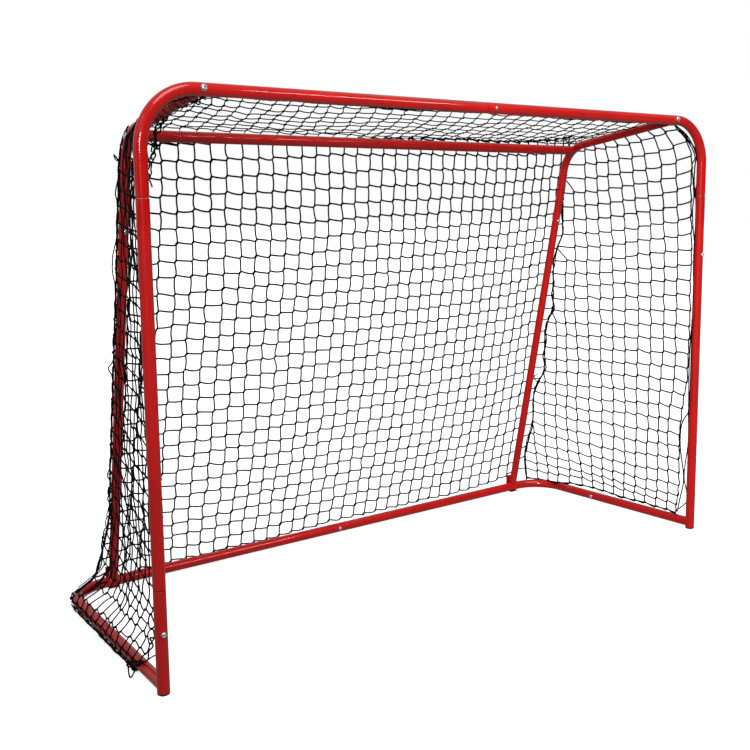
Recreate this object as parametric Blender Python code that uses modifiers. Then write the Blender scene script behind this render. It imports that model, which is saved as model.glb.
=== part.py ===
"""Knock-down street-hockey goal: a bolted steel tube frame with a square-mesh net.

X runs along the crossbar, the mouth faces -Y and Z is up. Lengths are in metres. Every piece is
modelled with the front hoop in the plane Y = 0, and one empty then moves the whole goal so that
its origin is the middle of its footprint, on the ground.
"""
import math

import bmesh
import bpy
from mathutils import Matrix, Vector

# Front hoop: two posts and a crossbar with rounded corners.
POST_SPACING = 1.600
CROSSBAR_HEIGHT = 1.1375
FRONT_TUBE_DIAMETER = 0.025
FRONT_CORNER_RADIUS = 0.110
CROSSBAR_JOINT_X = 0.017
ELBOW_LEG = 0.1975
FOOT_SECTION = 0.208

# Side frames: the roof edge tube, bent down into the leaning rear upright.
SIDE_TUBE_DIAMETER = 0.022
SIDE_FRAME_INSET = 0.122
SIDE_FRAME_TOE_IN = 0.016
ROOF_DEPTH = 0.3757
ROOF_FALL = 0.0602
SIDE_BEND_RADIUS = 0.088
STUB_LENGTH = 0.060
UPRIGHT_JOINT_DROP = 0.117

# Rear bar under the back edge of the roof, at this share of the way round the side tubes' bend.
REAR_BAR_DIAMETER = 0.025
REAR_BAR_TURN = 0.38

# Base: a U of tube on the ground behind the posts.
BASE_TUBE_DIAMETER = 0.025
BASE_DEPTH = 0.594
BASE_TOE_IN = 0.025
BASE_CORNER_RADIUS = 0.100
BASE_HEIGHT = 0.018
BASE_SIDE_JOINT_Y = 0.435
BASE_BAR_JOINT_X = 0.014

# Tube stock and its telescoping joints.
TUBE_WALL = 0.0012
TUBE_SIDES = 12
BEND_STEPS = 7
SHOULDER_LENGTH = 0.003
SPIGOT_LENGTH = 0.110
UPPER_POST_SPIGOT = 0.180
GAP = 0.0003

# Fasteners: shank diameter, head diameter and head height of each kind.
CORNER_BOLT = (0.0080, 0.0145, 0.0044)
TUBE_BOLT = (0.0060, 0.0115, 0.0033)
CROSSBAR_SCREW = (0.0040, 0.0075, 0.0022)
FOOT_BOLT = (0.0050, 0.0095, 0.0029)
HOLE_CLEARANCE = 0.0003
BOLT_STEPS = 10
SCREW_REACH = 0.0090
CORNER_BOLT_LENGTH = 0.052
REAR_BAR_BOLT_LENGTH = 0.046
INSERT_LENGTH = 0.012
NUT_RADIUS = 0.0046
NUT_HEIGHT = 0.0045
FOOT_NUT_STICK_OUT = 0.0012

# Places of the bolts, from the joint or the end that each one holds.
CROSSBAR_SCREW_PAST_JOINT = 0.022
POST_LOWER_BOLT_PAST_JOINT = 0.085
POST_UPPER_BOLT_PAST_JOINT = 0.160
BASE_SIDE_BOLT_PAST_JOINT = 0.079
BASE_BAR_BOLT_PAST_JOINT = 0.022
UPRIGHT_BOLT_PAST_JOINT = 0.093

# Foot caps and the hook brackets that hold the uprights to the rear bar of the base.
CAP_FLANGE = 0.0040
CAP_PLUG_LENGTH = 0.016
CAP_EDGE_RADIUS = 0.0015
HOOK_THICKNESS = 0.0020
HOOK_WIDTH = 0.026
HOOK_TOE = 0.010
HOOK_TAB_HEIGHT = 0.034
HOOK_BEND_STEPS = 6

# Net and the ropes along its edges.
STRAND_DIAMETER = 0.0030
ROPE_DIAMETER = 0.0040
NET_CLEARANCE = 0.0030
ROPE_CLEARANCE = 0.0006
NET_GROUND_CLEARANCE = 0.0040
BACK_COLUMNS, BACK_ROWS = 15, 10
ROOF_ROWS = 4
SIDE_COLUMNS, SIDE_ROWS = 5, 9
NET_BASE_INSET = 0.010
ROPE_SIDES_RESOLUTION = 1

# Colours: base colour, metallic and roughness.
RED_POWDER_COAT = (0.62, 0.010, 0.014), 0.0, 0.32
ZINC_STEEL = (0.78, 0.79, 0.80), 1.0, 0.28
BLACK_PLASTIC = (0.020, 0.020, 0.022), 0.0, 0.5
BLACK_NET_CORD = (0.012, 0.013, 0.018), 0.0, 0.8

# Sizes that follow from the ones above.
FRONT_RADIUS = FRONT_TUBE_DIAMETER / 2
SIDE_RADIUS = SIDE_TUBE_DIAMETER / 2
REAR_BAR_RADIUS = REAR_BAR_DIAMETER / 2
BASE_RADIUS = BASE_TUBE_DIAMETER / 2
STRAND_RADIUS = STRAND_DIAMETER / 2
ROPE_RADIUS = ROPE_DIAMETER / 2
POST_X = POST_SPACING / 2
SIDE_TOP_X = POST_X - SIDE_FRAME_INSET
UPRIGHT_FOOT_X = SIDE_TOP_X - SIDE_FRAME_TOE_IN
BASE_CORNER_X = POST_X - BASE_TOE_IN
POST_UPPER_JOINT = CROSSBAR_HEIGHT - ELBOW_LEG
ROPE_Y = FRONT_RADIUS + ROPE_CLEARANCE + ROPE_RADIUS
NET_FRONT_Y = ROPE_Y + ROPE_RADIUS + NET_CLEARANCE


class Goal:
    """The collections, the shared empty and the materials that the pieces are made with."""

    def __init__(self):
        self.parts = new_collection("hockey_goal")
        self.cutters = new_collection("cutters")
        self.origin = bpy.data.objects.new("goal_origin", None)
        self.parts.objects.link(self.origin)
        self.red = new_material("red_powder_coat", *RED_POWDER_COAT)
        self.zinc = new_material("zinc_steel", *ZINC_STEEL)
        self.plastic = new_material("black_plastic", *BLACK_PLASTIC)
        self.cord = new_material("black_net_cord", *BLACK_NET_CORD)

    def add(self, piece, material):
        """Take a finished piece into the goal."""
        for collection in piece.users_collection:
            collection.objects.unlink(piece)
        self.parts.objects.link(piece)
        piece.parent = self.origin
        piece.data.materials.clear()
        piece.data.materials.append(material)
        return piece

    def add_cutter(self, cutter):
        """Take in a solid that only cuts others."""
        for collection in cutter.users_collection:
            collection.objects.unlink(cutter)
        self.cutters.objects.link(cutter)
        cutter.parent = self.origin
        cutter.hide_render = True
        cutter.display_type = "WIRE"
        return cutter


def new_collection(name):
    """A collection in the scene."""
    collection = bpy.data.collections.new(name)
    bpy.context.scene.collection.children.link(collection)
    return collection


def new_material(name, colour, metallic, roughness):
    """A Principled material."""
    material = bpy.data.materials.new(name)
    material.use_nodes = True
    shader = material.node_tree.nodes["Principled BSDF"]
    shader.inputs["Base Color"].default_value = (*colour, 1.0)
    shader.inputs["Metallic"].default_value = metallic
    shader.inputs["Roughness"].default_value = roughness
    return material


def clear_scene():
    """Remove the start-up objects."""
    for thing in list(bpy.data.objects):
        bpy.data.objects.remove(thing)


# ---------------------------------------------------------------------------- paths and tubes


def rounded_path(corners, radius):
    """Points of straight runs whose inner corners are arcs of the given radius."""
    points = [Vector(corners[0])]
    for before, corner, after in zip(corners, corners[1:], corners[2:]):
        corner = Vector(corner)
        back = (Vector(before) - corner).normalized()
        ahead = (Vector(after) - corner).normalized()
        half_angle = back.angle(ahead) / 2
        centre = corner + (back + ahead).normalized() * radius / math.sin(half_angle)
        start = corner + back * radius / math.tan(half_angle) - centre
        normal = back.cross(ahead).normalized()
        turn = math.pi - 2 * half_angle
        for step in range(BEND_STEPS + 1):
            spin = Matrix.Rotation(-turn * step / BEND_STEPS, 3, normal)
            points.append(centre + spin @ start)
    points.append(Vector(corners[-1]))
    return points


def point_on_bend(corners, radius, share):
    """The point this share of the way round the arc at the middle one of three corners."""
    before, corner, after = (Vector(c) for c in corners)
    back = (before - corner).normalized()
    ahead = (after - corner).normalized()
    half_angle = back.angle(ahead) / 2
    centre = corner + (back + ahead).normalized() * radius / math.sin(half_angle)
    start = corner + back * radius / math.tan(half_angle) - centre
    turn = (math.pi - 2 * half_angle) * share
    return centre + Matrix.Rotation(-turn, 3, back.cross(ahead).normalized()) @ start


def bore_radius(radius):
    """The clear inner radius of a faceted tube of this outer radius."""
    return radius * math.cos(math.pi / TUBE_SIDES) - TUBE_WALL


def spigot_radius(radius):
    """The radius of a tube end that slides into a tube of this outer radius."""
    return bore_radius(radius) - GAP


def curve_mesh(name, points, radii, resolution, capped):
    """The mesh of a round curve through the points, with a radius at each."""
    curve = bpy.data.curves.new(name, "CURVE")
    curve.dimensions = "3D"
    curve.bevel_depth = 1.0
    curve.bevel_resolution = resolution
    curve.use_fill_caps = capped
    spline = curve.splines.new("POLY")
    spline.points.add(len(points) - 1)
    for knot, point, radius in zip(spline.points, points, radii):
        knot.co = (*point, 1.0)
        knot.radius = radius
    holder = bpy.data.objects.new(name, curve)
    bpy.context.scene.collection.objects.link(holder)
    bpy.context.view_layer.update()
    evaluated = holder.evaluated_get(bpy.context.evaluated_depsgraph_get())
    mesh = bpy.data.meshes.new_from_object(evaluated)
    bpy.data.objects.remove(holder)
    bpy.data.curves.remove(curve)
    body = bmesh.new()
    body.from_mesh(mesh)
    bmesh.ops.remove_doubles(body, verts=body.verts, dist=1e-6)
    bmesh.ops.recalc_face_normals(body, faces=body.faces)
    body.to_mesh(mesh)
    body.free()
    mesh.name = name
    mesh.shade_smooth()
    return mesh


def tube(goal, name, points, diameter, start_spigot=0.0, end_spigot=0.0):
    """A hollow steel tube along the points; each spigot is a narrowed end past that joint."""
    radius = diameter / 2
    points = [Vector(p) for p in points]
    radii = [radius] * len(points)
    if end_spigot:
        add_spigot(points, radii, end_spigot, spigot_radius(radius))
    if start_spigot:
        points.reverse()
        radii.reverse()
        add_spigot(points, radii, start_spigot, spigot_radius(radius))
    mesh = curve_mesh(name, points, radii, TUBE_SIDES // 2 - 2, capped=False)
    piece = bpy.data.objects.new(name, mesh)
    wall = piece.modifiers.new("wall", "SOLIDIFY")
    wall.thickness = TUBE_WALL
    wall.offset = -1.0
    return goal.add(piece, goal.red)


def add_spigot(points, radii, length, radius):
    """Narrow the last end of a path: a short shoulder before the joint, then the spigot."""
    joint = points[-1]
    onward = (joint - points[-2]).normalized()
    points[-1] = joint - onward * (GAP + SHOULDER_LENGTH)
    points += [joint - onward * GAP, joint + onward * length]
    radii += [radius, radius]


def cut(piece, cutter):
    """Take the cutter's space out of a piece."""
    hole = piece.modifiers.new("cut_" + cutter.name[-40:], "BOOLEAN")
    hole.operation = "DIFFERENCE"
    hole.object = cutter


def rod_cutter(goal, name, start, end, radius, vertices=16):
    """A cylinder that cuts, from start to end."""
    start, end = Vector(start), Vector(end)
    bpy.ops.mesh.primitive_cylinder_add(vertices=vertices, radius=radius,
                                        depth=(end - start).length)
    cutter = bpy.context.object
    cutter.name = name
    cutter.location = (start + end) / 2
    cutter.rotation_mode = "QUATERNION"
    cutter.rotation_quaternion = (end - start).to_track_quat("Z", "Y")
    return goal.add_cutter(cutter)


def turned(goal, name, profile, base, axis, material, closed=False, steps=BOLT_STEPS):
    """A round piece: the (radius, height) profile, turned about an axis through its base.

    The profile runs down the outer side, from top to bottom.
    """
    mesh = bpy.data.meshes.new(name)
    corners = [(radius, 0.0, height) for radius, height in profile]
    edges = [(i, i + 1) for i in range(len(corners) - 1)]
    if closed:
        edges.append((len(corners) - 1, 0))
    mesh.from_pydata(corners, edges, [])
    piece = bpy.data.objects.new(name, mesh)
    piece.location = base
    piece.rotation_mode = "QUATERNION"
    piece.rotation_quaternion = Vector(axis).to_track_quat("Z", "Y")
    screw = piece.modifiers.new("turn", "SCREW")
    screw.steps = steps
    screw.render_steps = steps
    screw.use_merge_vertices = True
    screw.merge_threshold = 1e-5
    return goal.add(piece, material)


def bolt(goal, name, seat, outward, kind, length):
    """A button-head bolt whose head stands on the seat point and whose shank goes inwards."""
    shank, head, height = kind
    profile = [(0.0, height), (0.30 * head, 0.92 * height), (0.45 * head, 0.55 * height),
               (0.50 * head, 0.0), (shank / 2, 0.0), (shank / 2, -length), (0.0, -length)]
    return turned(goal, name, profile, seat, outward, goal.zinc)


def ring(goal, name, base, axis, outer, inner, height, material, steps=BOLT_STEPS):
    """A round nut or insert with a hole: outer and inner are the radii of its corners."""
    profile = [(outer, height), (outer, 0.0), (inner, 0.0), (inner, height)]
    return turned(goal, name, profile, base, axis, material, closed=True, steps=steps)


def clear_hole(radius, steps=BOLT_STEPS):
    """The corner radius of a faceted hole that clears a shank of this radius."""
    return (radius + HOLE_CLEARANCE) / math.cos(math.pi / steps)


def tube_screw(goal, name, centre, outward, tube_radius, kind, pieces):
    """A screw through the near walls of a telescoping joint, and its hole in each piece."""
    outward = Vector(outward).normalized()
    seat = Vector(centre) + outward * (tube_radius + GAP)
    screw = bolt(goal, name, seat, outward, kind, SCREW_REACH)
    reach = Vector(centre) + outward * (tube_radius - SCREW_REACH - HOLE_CLEARANCE)
    hole = rod_cutter(goal, name + "_hole", reach, seat + outward * tube_radius,
                      kind[0] / 2 + HOLE_CLEARANCE)
    for piece in pieces:
        cut(piece, hole)
    return screw


# -------------------------------------------------------------------------------- front hoop


def front_hoop(goal):
    """Two crossbar halves with their corners, two posts, two foot sections and caps."""
    pieces = {}
    for side, name in ((-1, "left"), (1, "right")):
        top = Vector((side * POST_X, 0.0, CROSSBAR_HEIGHT))
        middle = Vector((CROSSBAR_JOINT_X, 0.0, CROSSBAR_HEIGHT))
        elbow_end = Vector((side * POST_X, 0.0, POST_UPPER_JOINT))
        pieces["crossbar_" + name] = tube(
            goal, "crossbar_" + name, rounded_path([middle, top, elbow_end], FRONT_CORNER_RADIUS),
            FRONT_TUBE_DIAMETER, start_spigot=SPIGOT_LENGTH if side < 0 else 0.0,
            end_spigot=UPPER_POST_SPIGOT)
        lower_joint = Vector((side * POST_X, 0.0, FOOT_SECTION))
        pieces["post_" + name] = tube(
            goal, "post_" + name, [elbow_end, lower_joint], FRONT_TUBE_DIAMETER,
            end_spigot=SPIGOT_LENGTH)
        foot_end = Vector((side * POST_X, 0.0, CAP_FLANGE + GAP))
        pieces["foot_" + name] = tube(
            goal, "foot_section_" + name, [lower_joint, foot_end], FRONT_TUBE_DIAMETER)
        foot_cap(goal, "foot_cap_" + name, side)
    screw_x = CROSSBAR_JOINT_X + CROSSBAR_SCREW_PAST_JOINT
    tube_screw(goal, "crossbar_screw", (screw_x, 0.0, CROSSBAR_HEIGHT), (0, -1, 0), FRONT_RADIUS,
               CROSSBAR_SCREW, [pieces["crossbar_left"], pieces["crossbar_right"]])
    tube_screw(goal, "post_bolt_left", (-POST_X, 0.0, FOOT_SECTION - POST_LOWER_BOLT_PAST_JOINT),
               (0, -1, 0), FRONT_RADIUS, TUBE_BOLT, [pieces["post_left"], pieces["foot_left"]])
    tube_screw(goal, "post_bolt_right",
               (POST_X, 0.0, POST_UPPER_JOINT - POST_UPPER_BOLT_PAST_JOINT),
               (0, -1, 0), FRONT_RADIUS, TUBE_BOLT, [pieces["crossbar_right"], pieces["post_right"]])
    return pieces


def foot_cap(goal, name, side):
    """A plastic end cap: a flange on the ground and a plug inside the foot section."""
    plug = spigot_radius(FRONT_RADIUS)
    profile = [(0.0, CAP_FLANGE + CAP_PLUG_LENGTH), (plug, CAP_FLANGE + CAP_PLUG_LENGTH),
               (plug, CAP_FLANGE), (FRONT_RADIUS, CAP_FLANGE), (FRONT_RADIUS, CAP_EDGE_RADIUS),
               (FRONT_RADIUS - CAP_EDGE_RADIUS, 0.0), (0.0, 0.0)]
    return turned(goal, name, profile, (side * POST_X, 0.0, 0.0), (0, 0, 1), goal.plastic,
                  steps=TUBE_SIDES)


# ------------------------------------------------------------------------------- side frames


def side_corners(side):
    """Where the axis of a side frame starts, bends and ends: crossbar, roof corner, base bar."""
    roof_x = SIDE_TOP_X - SIDE_FRAME_TOE_IN * ROOF_DEPTH / BASE_DEPTH
    return [Vector((side * SIDE_TOP_X, 0.0, CROSSBAR_HEIGHT)),
            Vector((side * roof_x, ROOF_DEPTH, CROSSBAR_HEIGHT - ROOF_FALL)),
            Vector((side * UPRIGHT_FOOT_X, BASE_DEPTH, BASE_HEIGHT))]


def upright_joint(side):
    """Where a side tube slides into its upright."""
    _, bend, foot = side_corners(side)
    lean = (foot - bend).normalized()
    return bend + lean * (UPRIGHT_JOINT_DROP / -lean.z)


def side_frames(goal, hoop):
    """Stubs behind the crossbar, bent side tubes, uprights and the bar across the back."""
    crossbar_space = rod_cutter(goal, "crossbar_space", (-POST_X, 0.0, CROSSBAR_HEIGHT),
                                (POST_X, 0.0, CROSSBAR_HEIGHT), FRONT_RADIUS + GAP, vertices=24)
    base_space = rod_cutter(goal, "base_bar_space", (-BASE_CORNER_X, BASE_DEPTH, BASE_HEIGHT),
                            (BASE_CORNER_X, BASE_DEPTH, BASE_HEIGHT), BASE_RADIUS + GAP,
                            vertices=24)
    bends = {}
    sides = {}
    for side, name in ((-1, "left"), (1, "right")):
        start, bend, foot = side_corners(side)
        along_roof = (bend - start).normalized()
        stub_end = start + along_roof * STUB_LENGTH
        stub = tube(goal, "roof_stub_" + name, [start, stub_end], SIDE_TUBE_DIAMETER,
                    end_spigot=SPIGOT_LENGTH / 2)
        cut(stub, crossbar_space)
        joint = upright_joint(side)
        path = rounded_path([stub_end, bend, joint], SIDE_BEND_RADIUS)
        sides[name] = tube(goal, "side_tube_" + name, path, SIDE_TUBE_DIAMETER,
                           end_spigot=SPIGOT_LENGTH)
        upright = tube(goal, "upright_" + name, [joint, foot], SIDE_TUBE_DIAMETER)
        cut(upright, base_space)
        bends[name] = point_on_bend([stub_end, bend, joint], SIDE_BEND_RADIUS, REAR_BAR_TURN)
        corner_bolt(goal, name, start, along_roof, hoop["crossbar_" + name])
        lean = (foot - bend).normalized()
        outward = Vector((0.0, lean.z, -lean.y))
        tube_screw(goal, "upright_bolt_" + name, joint + lean * UPRIGHT_BOLT_PAST_JOINT, outward,
                   SIDE_RADIUS, TUBE_BOLT, [sides[name], upright])
    rear_bar(goal, bends, sides)
    return bends


def corner_bolt(goal, name, start, inward, crossbar):
    """The bolt through the crossbar into an insert in the stub."""
    shank = CORNER_BOLT[0] / 2
    seat = start - inward * (FRONT_RADIUS + GAP)
    bolt(goal, "corner_bolt_" + name, seat, -inward, CORNER_BOLT, CORNER_BOLT_LENGTH)
    hole = rod_cutter(goal, "corner_bolt_hole_" + name, seat - inward * FRONT_RADIUS,
                      start + inward * (2 * FRONT_RADIUS), shank + HOLE_CLEARANCE)
    cut(crossbar, hole)
    insert_start = seat + inward * (CORNER_BOLT_LENGTH - INSERT_LENGTH)
    ring(goal, "roof_stub_insert_" + name, insert_start, inward, spigot_radius(SIDE_RADIUS),
         clear_hole(shank), INSERT_LENGTH, goal.zinc)


def rear_bar(goal, bends, sides):
    """The bar between the bends of the side tubes, with a bolt and an insert at each end."""
    left, right = bends["left"], bends["right"]
    bar = tube(goal, "rear_top_bar", [left, right], REAR_BAR_DIAMETER)
    for side, name in ((-1, "left"), (1, "right")):
        start, bend, _ = side_corners(side)
        inner_space = curve_mesh("side_tube_space_" + name,
                                 rounded_path([start, bend, upright_joint(side)],
                                              SIDE_BEND_RADIUS),
                                 [SIDE_RADIUS + GAP] * (BEND_STEPS + 3), TUBE_SIDES // 2,
                                 capped=True)
        space = goal.add_cutter(bpy.data.objects.new("side_tube_space_" + name, inner_space))
        cut(bar, space)
        end = bends[name]
        outward = Vector((side, 0.0, 0.0))
        shank = TUBE_BOLT[0] / 2
        seat = end + outward * (SIDE_RADIUS + GAP)
        bolt(goal, "rear_bar_bolt_" + name, seat, outward, TUBE_BOLT, REAR_BAR_BOLT_LENGTH)
        hole = rod_cutter(goal, "rear_bar_bolt_hole_" + name, seat + outward * SIDE_RADIUS,
                          end - outward * 2 * SIDE_RADIUS, shank + HOLE_CLEARANCE)
        cut(sides[name], hole)
        insert_start = seat - outward * REAR_BAR_BOLT_LENGTH
        ring(goal, "rear_bar_insert_" + name, insert_start, outward,
             spigot_radius(REAR_BAR_RADIUS), clear_hole(shank), INSERT_LENGTH, goal.zinc)


# -------------------------------------------------------------------------------------- base


def base_side_point(side, y):
    """The point of a base side tube's axis this far behind the front hoop."""
    return Vector((side * (POST_X - BASE_TOE_IN * y / BASE_DEPTH), y, BASE_HEIGHT))


def base(goal):
    """Two side tubes and two cornered halves of the rear bar, joined in the middle."""
    pieces = {}
    for side, name in ((-1, "left"), (1, "right")):
        front = base_side_point(side, 0.0)
        joint = base_side_point(side, BASE_SIDE_JOINT_Y)
        side_tube = tube(goal, "base_side_" + name, [front, joint], BASE_TUBE_DIAMETER)
        foot_space = rod_cutter(goal, "foot_space_" + name, (side * POST_X, 0.0, -FRONT_RADIUS),
                                (side * POST_X, 0.0, FOOT_SECTION), FRONT_RADIUS + GAP,
                                vertices=24)
        cut(side_tube, foot_space)
        corner = Vector((side * BASE_CORNER_X, BASE_DEPTH, BASE_HEIGHT))
        middle = Vector((BASE_BAR_JOINT_X, BASE_DEPTH, BASE_HEIGHT))
        pieces[name] = tube(goal, "base_rear_" + name,
                            rounded_path([middle, corner, joint], BASE_CORNER_RADIUS),
                            BASE_TUBE_DIAMETER, start_spigot=SPIGOT_LENGTH if side > 0 else 0.0,
                            end_spigot=SPIGOT_LENGTH)
        forward = (front - joint).normalized()
        inward = Vector((0.0, 0.0, -side)).cross(forward)
        tube_screw(goal, "base_side_bolt_" + name, joint + forward * BASE_SIDE_BOLT_PAST_JOINT,
                   inward, BASE_RADIUS, TUBE_BOLT, [side_tube, pieces[name]])
    bolt_x = BASE_BAR_JOINT_X - BASE_BAR_BOLT_PAST_JOINT
    tube_screw(goal, "base_bar_bolt", (bolt_x, BASE_DEPTH, BASE_HEIGHT), (0, -1, 0), BASE_RADIUS,
               TUBE_BOLT, [pieces["left"], pieces["right"]])
    return pieces


def upright_feet(goal, base_pieces):
    """Under each upright: a hook bracket round the base bar, a bolt from below and its nut."""
    under_bar = BASE_HEIGHT - BASE_RADIUS - GAP
    shank = FOOT_BOLT[0] / 2
    for side, name in ((-1, "left"), (1, "right")):
        x = side * UPRIGHT_FOOT_X
        bracket = hook_bracket(goal, "upright_hook_" + name, x)
        head_top = under_bar - HOOK_THICKNESS - GAP
        nut_base = BASE_HEIGHT + BASE_RADIUS + GAP
        length = nut_base + NUT_HEIGHT + FOOT_NUT_STICK_OUT - head_top
        bolt(goal, "foot_bolt_" + name, (x, BASE_DEPTH, head_top), (0, 0, -1), FOOT_BOLT, length)
        hole = rod_cutter(goal, "foot_bolt_hole_" + name, (x, BASE_DEPTH, -FRONT_RADIUS),
                          (x, BASE_DEPTH, BASE_HEIGHT + 2 * BASE_RADIUS), shank + HOLE_CLEARANCE)
        cut(base_pieces[name], hole)
        cut(bracket, hole)
        ring(goal, "foot_nut_" + name, (x, BASE_DEPTH, nut_base), (0, 0, 1), NUT_RADIUS,
             clear_hole(shank, 6), NUT_HEIGHT, goal.zinc, steps=6)


def hook_bracket(goal, name, x):
    """A strip bent round the underside and back of the base bar, with a tab left standing.

    Its outline is drawn in the plane of X = constant: forward toe, quarter arc, upright tab.
    """
    inner = BASE_RADIUS + GAP
    outer = inner + HOOK_THICKNESS
    outline = []
    for radius, order in ((inner, 1), (outer, -1)):
        turn = math.pi / 2 / HOOK_BEND_STEPS
        arc = [Vector((radius * math.sin(turn * step), -radius * math.cos(turn * step)))
               for step in range(HOOK_BEND_STEPS + 1)]
        run = [Vector((-HOOK_TOE, -radius))] + arc + [Vector((radius, HOOK_TAB_HEIGHT))]
        outline += run[::order]
    curve = bpy.data.curves.new(name, "CURVE")
    curve.dimensions = "2D"
    curve.fill_mode = "BOTH"
    curve.extrude = HOOK_WIDTH / 2
    spline = curve.splines.new("POLY")
    spline.points.add(len(outline) - 1)
    for knot, point in zip(spline.points, outline):
        knot.co = (point.x, point.y, 0.0, 1.0)
    spline.use_cyclic_u = True
    holder = bpy.data.objects.new(name, curve)
    bpy.context.scene.collection.objects.link(holder)
    bpy.context.view_layer.update()
    evaluated = holder.evaluated_get(bpy.context.evaluated_depsgraph_get())
    mesh = bpy.data.meshes.new_from_object(evaluated)
    bpy.data.objects.remove(holder)
    bpy.data.curves.remove(curve)
    body = bmesh.new()
    body.from_mesh(mesh)
    bmesh.ops.remove_doubles(body, verts=body.verts, dist=1e-6)
    bmesh.ops.recalc_face_normals(body, faces=body.faces)
    body.to_mesh(mesh)
    body.free()
    piece = bpy.data.objects.new(name, mesh)
    piece.location = (x, BASE_DEPTH, BASE_HEIGHT)
    piece.rotation_euler = (math.pi / 2, 0.0, math.pi / 2)
    return goal.add(piece, goal.red)


# --------------------------------------------------------------------------- net and its ropes


def roof_edge(side, y):
    """The line on which the net passes outside a side tube, this far behind the hoop."""
    start, bend, _ = side_corners(side)
    share = y / bend.y
    clear = SIDE_RADIUS + GAP + TUBE_BOLT[2] + NET_CLEARANCE
    return start.lerp(bend, share) + Vector((side * clear, 0.0, 0.0))


def net_corner_line(side):
    """The top and bottom of the net's rear corner, outside the bend and behind the base."""
    _, bend, foot = side_corners(side)
    behind = Vector((0.0, (bend - foot).z, (foot - bend).y)).normalized()
    stand_off = SIDE_RADIUS + NET_CLEARANCE + STRAND_RADIUS
    top = bend + behind * stand_off
    top.x = roof_edge(side, bend.y).x
    bottom = Vector((side * (BASE_CORNER_X - NET_BASE_INSET), foot.y,
                     BASE_HEIGHT + BASE_RADIUS + NET_GROUND_CLEARANCE))
    tab = foot + Vector((0.0, BASE_RADIUS + GAP + HOOK_THICKNESS, HOOK_TAB_HEIGHT))
    bottom.y = tab.y + NET_CLEARANCE + STRAND_RADIUS
    bottom.y += (bottom.y - top.y) * (tab.z - bottom.z) / (top.z - tab.z)
    return top, bottom


def hoop_line(side, share, y):
    """A point behind the front hoop, this share of the way from the roof edge to the ground.

    The line follows the rounded corner on a smaller arc, then runs straight down the post.
    """
    radius = FRONT_CORNER_RADIUS - FRONT_RADIUS + NET_CLEARANCE
    centre_x = POST_X - FRONT_CORNER_RADIUS
    centre_z = CROSSBAR_HEIGHT - FRONT_CORNER_RADIUS
    bottom = BASE_HEIGHT + BASE_RADIUS + NET_GROUND_CLEARANCE
    arc = radius * math.pi / 2
    travelled = share * (arc + centre_z - bottom)
    angle = min(travelled, arc) / radius
    x = centre_x + radius * math.sin(angle)
    z = centre_z + radius * math.cos(angle) - max(0.0, travelled - arc)
    return Vector((side * x, y, z))


def net_panel(goal, name, columns, rows, place):
    """A square-mesh panel: a grid laid on place(u, v), each edge turned into a strand."""
    grid = bmesh.new()
    bmesh.ops.create_grid(grid, x_segments=columns, y_segments=rows, size=0.5)
    for knot in grid.verts:
        knot.co = place(knot.co.x + 0.5, 0.5 - knot.co.y)
    mesh = bpy.data.meshes.new(name)
    grid.to_mesh(mesh)
    grid.free()
    piece = bpy.data.objects.new(name, mesh)
    strands = piece.modifiers.new("strands", "WIREFRAME")
    strands.thickness = STRAND_DIAMETER
    strands.use_boundary = True
    strands.use_replace = True
    strands.use_even_offset = True
    return goal.add(piece, goal.cord)


def rope(goal, name, points):
    """A thin border rope along the points."""
    mesh = curve_mesh(name, points, [ROPE_RADIUS] * len(points), ROPE_SIDES_RESOLUTION,
                      capped=True)
    return goal.add(bpy.data.objects.new(name, mesh), goal.cord)


def net(goal):
    """Roof, back and two side panels, with ropes behind the hoop and down the rear corners."""
    apart = ROPE_RADIUS + NET_CLEARANCE
    roof_lift = Vector((0.0, 0.0, SIDE_RADIUS + ROPE_CLEARANCE + STRAND_RADIUS))
    left_top, left_bottom = net_corner_line(-1)
    right_top, right_bottom = net_corner_line(1)

    def roof_place(u, v):
        y = NET_FRONT_Y + (left_top.y - 2 * apart - NET_FRONT_Y) * v
        left, right = (start.lerp(bend, y / ROOF_DEPTH)
                       for start, bend, _ in (side_corners(-1), side_corners(1)))
        return left.lerp(right, u) + roof_lift

    def back_place(u, v):
        inward = Vector((apart, 0.0, 0.0))
        left = left_top.lerp(left_bottom, v) + inward
        right = right_top.lerp(right_bottom, v) - inward
        return left.lerp(right, u)

    net_panel(goal, "net_roof", BACK_COLUMNS, ROOF_ROWS, roof_place)
    net_panel(goal, "net_back", BACK_COLUMNS, BACK_ROWS, back_place)
    for side, name, top, bottom in ((-1, "left", left_top, left_bottom),
                                    (1, "right", right_top, right_bottom)):
        forward = Vector((0.0, -apart, 0.0))

        def side_place(u, v, side=side, top=top, bottom=bottom):
            rear = top.lerp(bottom, v) + forward
            return hoop_line(side, v, NET_FRONT_Y).lerp(rear, u)

        net_panel(goal, "net_side_" + name, SIDE_COLUMNS, SIDE_ROWS, side_place)
        steps = [0.0, 0.03, 0.06, 0.09, 0.12, 0.15, 1.0]
        rope(goal, "net_rope_post_" + name, [hoop_line(side, s, ROPE_Y) for s in steps])
        rope(goal, "net_rope_corner_" + name, [top, bottom])
    rope_end = POST_X - FRONT_CORNER_RADIUS - NET_CLEARANCE
    stub_z = CROSSBAR_HEIGHT - ROOF_FALL * (ROPE_Y + ROPE_RADIUS) / ROOF_DEPTH
    rope_z = stub_z - SIDE_RADIUS - ROPE_CLEARANCE - ROPE_RADIUS
    rope(goal, "net_rope_crossbar", [Vector((-rope_end, ROPE_Y, rope_z)),
                                     Vector((rope_end, ROPE_Y, rope_z))])
    return left_bottom.y


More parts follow.
